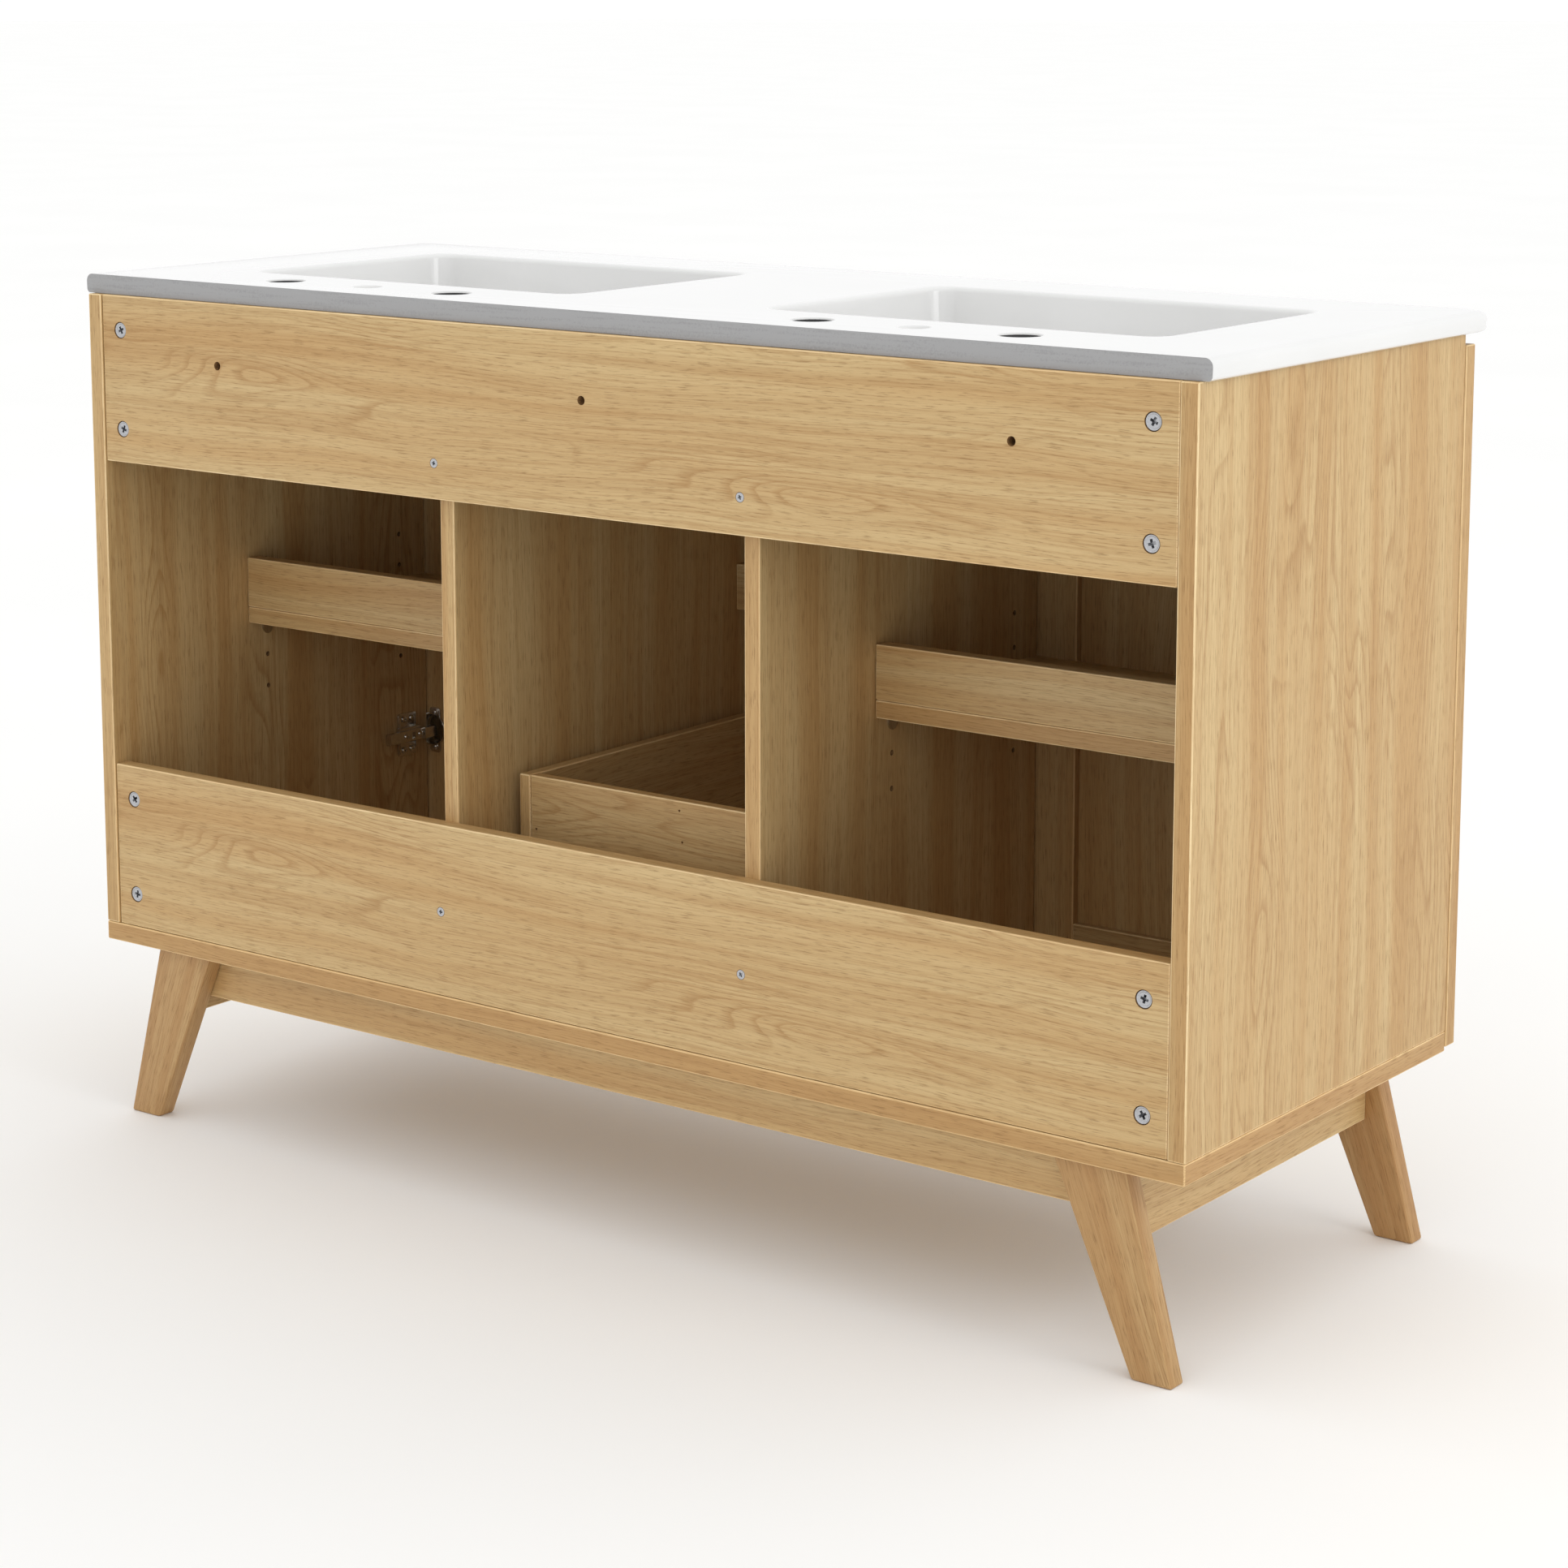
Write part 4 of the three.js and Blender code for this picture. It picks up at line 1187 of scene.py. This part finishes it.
# ---- stage ------------------------------------------------------------------------------------------
def studio_floor(name):
    """Seamless matt studio floor, painted: nearly white with faint clouding."""
    material, tree, shader = start_material(name, Roughness=0.85, IOR=1.3)
    tint = bpy.context.scene.vanity_finishes.floor
    cloud = noise(tree, solid_place(tree), 1.5, 2)
    tone = ramp(tree, cloud, (0.3, [c * 0.985 for c in tint]), (0.7, tint[:]))
    tree.links.new(tone, shader.inputs["Base Color"])
    return material


class VANITY_OT_stage(bpy.types.Operator):
    """Studio floor, soft lights and the camera"""
    bl_idname = "vanity.stage"
    bl_label = "Stage"

    def floor(self, settings):
        bpy.ops.mesh.primitive_circle_add(vertices=96, radius=settings.floor_radius, fill_type="NGON")
        floor = settle("studio_floor")
        smooth(paint(floor, studio_floor("painted_studio_floor")))

    def lamp(self, settings):
        """A square soft box beside the cabinet's left side, aimed at its middle."""
        bpy.ops.object.light_add(type="AREA", location=settings.lamp_at)
        lamp = bpy.context.object
        lamp.name = "key_left"
        lamp.data.size = settings.lamp_size
        lamp.data.energy = settings.lamp_power
        lamp.visible_camera = False
        aim = Vector((0, 0, 0.45)) - Vector(settings.lamp_at)
        lamp.rotation_euler = aim.to_track_quat("-Z", "Y").to_euler()

    def execute(self, context):
        settings = context.scene.vanity_stage
        self.floor(settings)
        self.lamp(settings)
        world = bpy.data.worlds.new("studio")
        world.use_nodes = True
        tree = world.node_tree
        height = add_node(tree, "SeparateXYZ", {"Vector": add_node(tree, "TexCoord").outputs["Generated"]})
        # Walls as pale as the floor, under a slightly brighter ceiling.
        sky = ramp(tree, height.outputs["Z"], (0, 0.95), (0.8, 1))
        background = tree.nodes["Background"]
        tree.links.new(sky, background.inputs["Color"])
        background.inputs["Strength"].default_value = settings.sky
        context.scene.world = world
        context.scene.view_settings.view_transform = "Standard"
        bpy.ops.object.camera_add(location=settings.eye)
        camera = bpy.context.object
        turn, tilt = settings.turn, settings.tilt
        flat = math.cos(tilt)
        look = Vector((math.sin(turn) * flat, -math.cos(turn) * flat, -math.sin(tilt)))
        camera.rotation_euler = look.to_track_quat("-Z", "Y").to_euler()
        camera.data.lens = settings.lens
        camera.data.shift_y = settings.shift
        context.scene.camera = camera
        return {"FINISHED"}


class VANITY_PT_panel(bpy.types.Panel):
    """Lists the steps that build the vanity"""
    bl_idname = "VANITY_PT_panel"
    bl_label = "Double-basin vanity"
    bl_space_type = "VIEW_3D"
    bl_region_type = "UI"
    bl_category = "Vanity"

    def draw(self, context):
        for operator in OPERATORS:
            self.layout.operator(operator.bl_idname)
        for group in GROUPS:
            settings = getattr(context.scene, group)
            box = self.layout.box()
            box.label(text=group.replace("_", " "))
            for key in settings.__annotations__:
                box.prop(settings, key)


GROUPS = {
    "vanity_boards": BoardSizes,
    "vanity_top": TopSizes,
    "vanity_fittings": FittingSizes,
    "vanity_finishes": Finishes,
    "vanity_stage": StageSettings,
}
OPERATORS = (
    VANITY_OT_stage,
    VANITY_OT_carcass,
    VANITY_OT_rails,
    VANITY_OT_shelves,
    VANITY_OT_legs,
    VANITY_OT_ceramic_top,
    VANITY_OT_doors,
    VANITY_OT_drawer,
    VANITY_OT_fixings,
    VANITY_OT_hinges,
    VANITY_OT_knobs,
    VANITY_OT_shelf_pins,
    VANITY_OT_runners,
)


def register():
    for name, group in GROUPS.items():
        bpy.utils.register_class(group)
        setattr(bpy.types.Scene, name, PointerProperty(type=group))
    for operator in OPERATORS:
        bpy.utils.register_class(operator)
    bpy.utils.register_class(VANITY_PT_panel)


def unregister():
    bpy.utils.unregister_class(VANITY_PT_panel)
    for operator in reversed(OPERATORS):
        bpy.utils.unregister_class(operator)
    for name, group in GROUPS.items():
        delattr(bpy.types.Scene, name)
        bpy.utils.unregister_class(group)


def main():
    register()
    for operator in OPERATORS:
        getattr(bpy.ops.vanity, operator.bl_idname.partition(".")[2])()


if __name__ == "__main__":
    main()
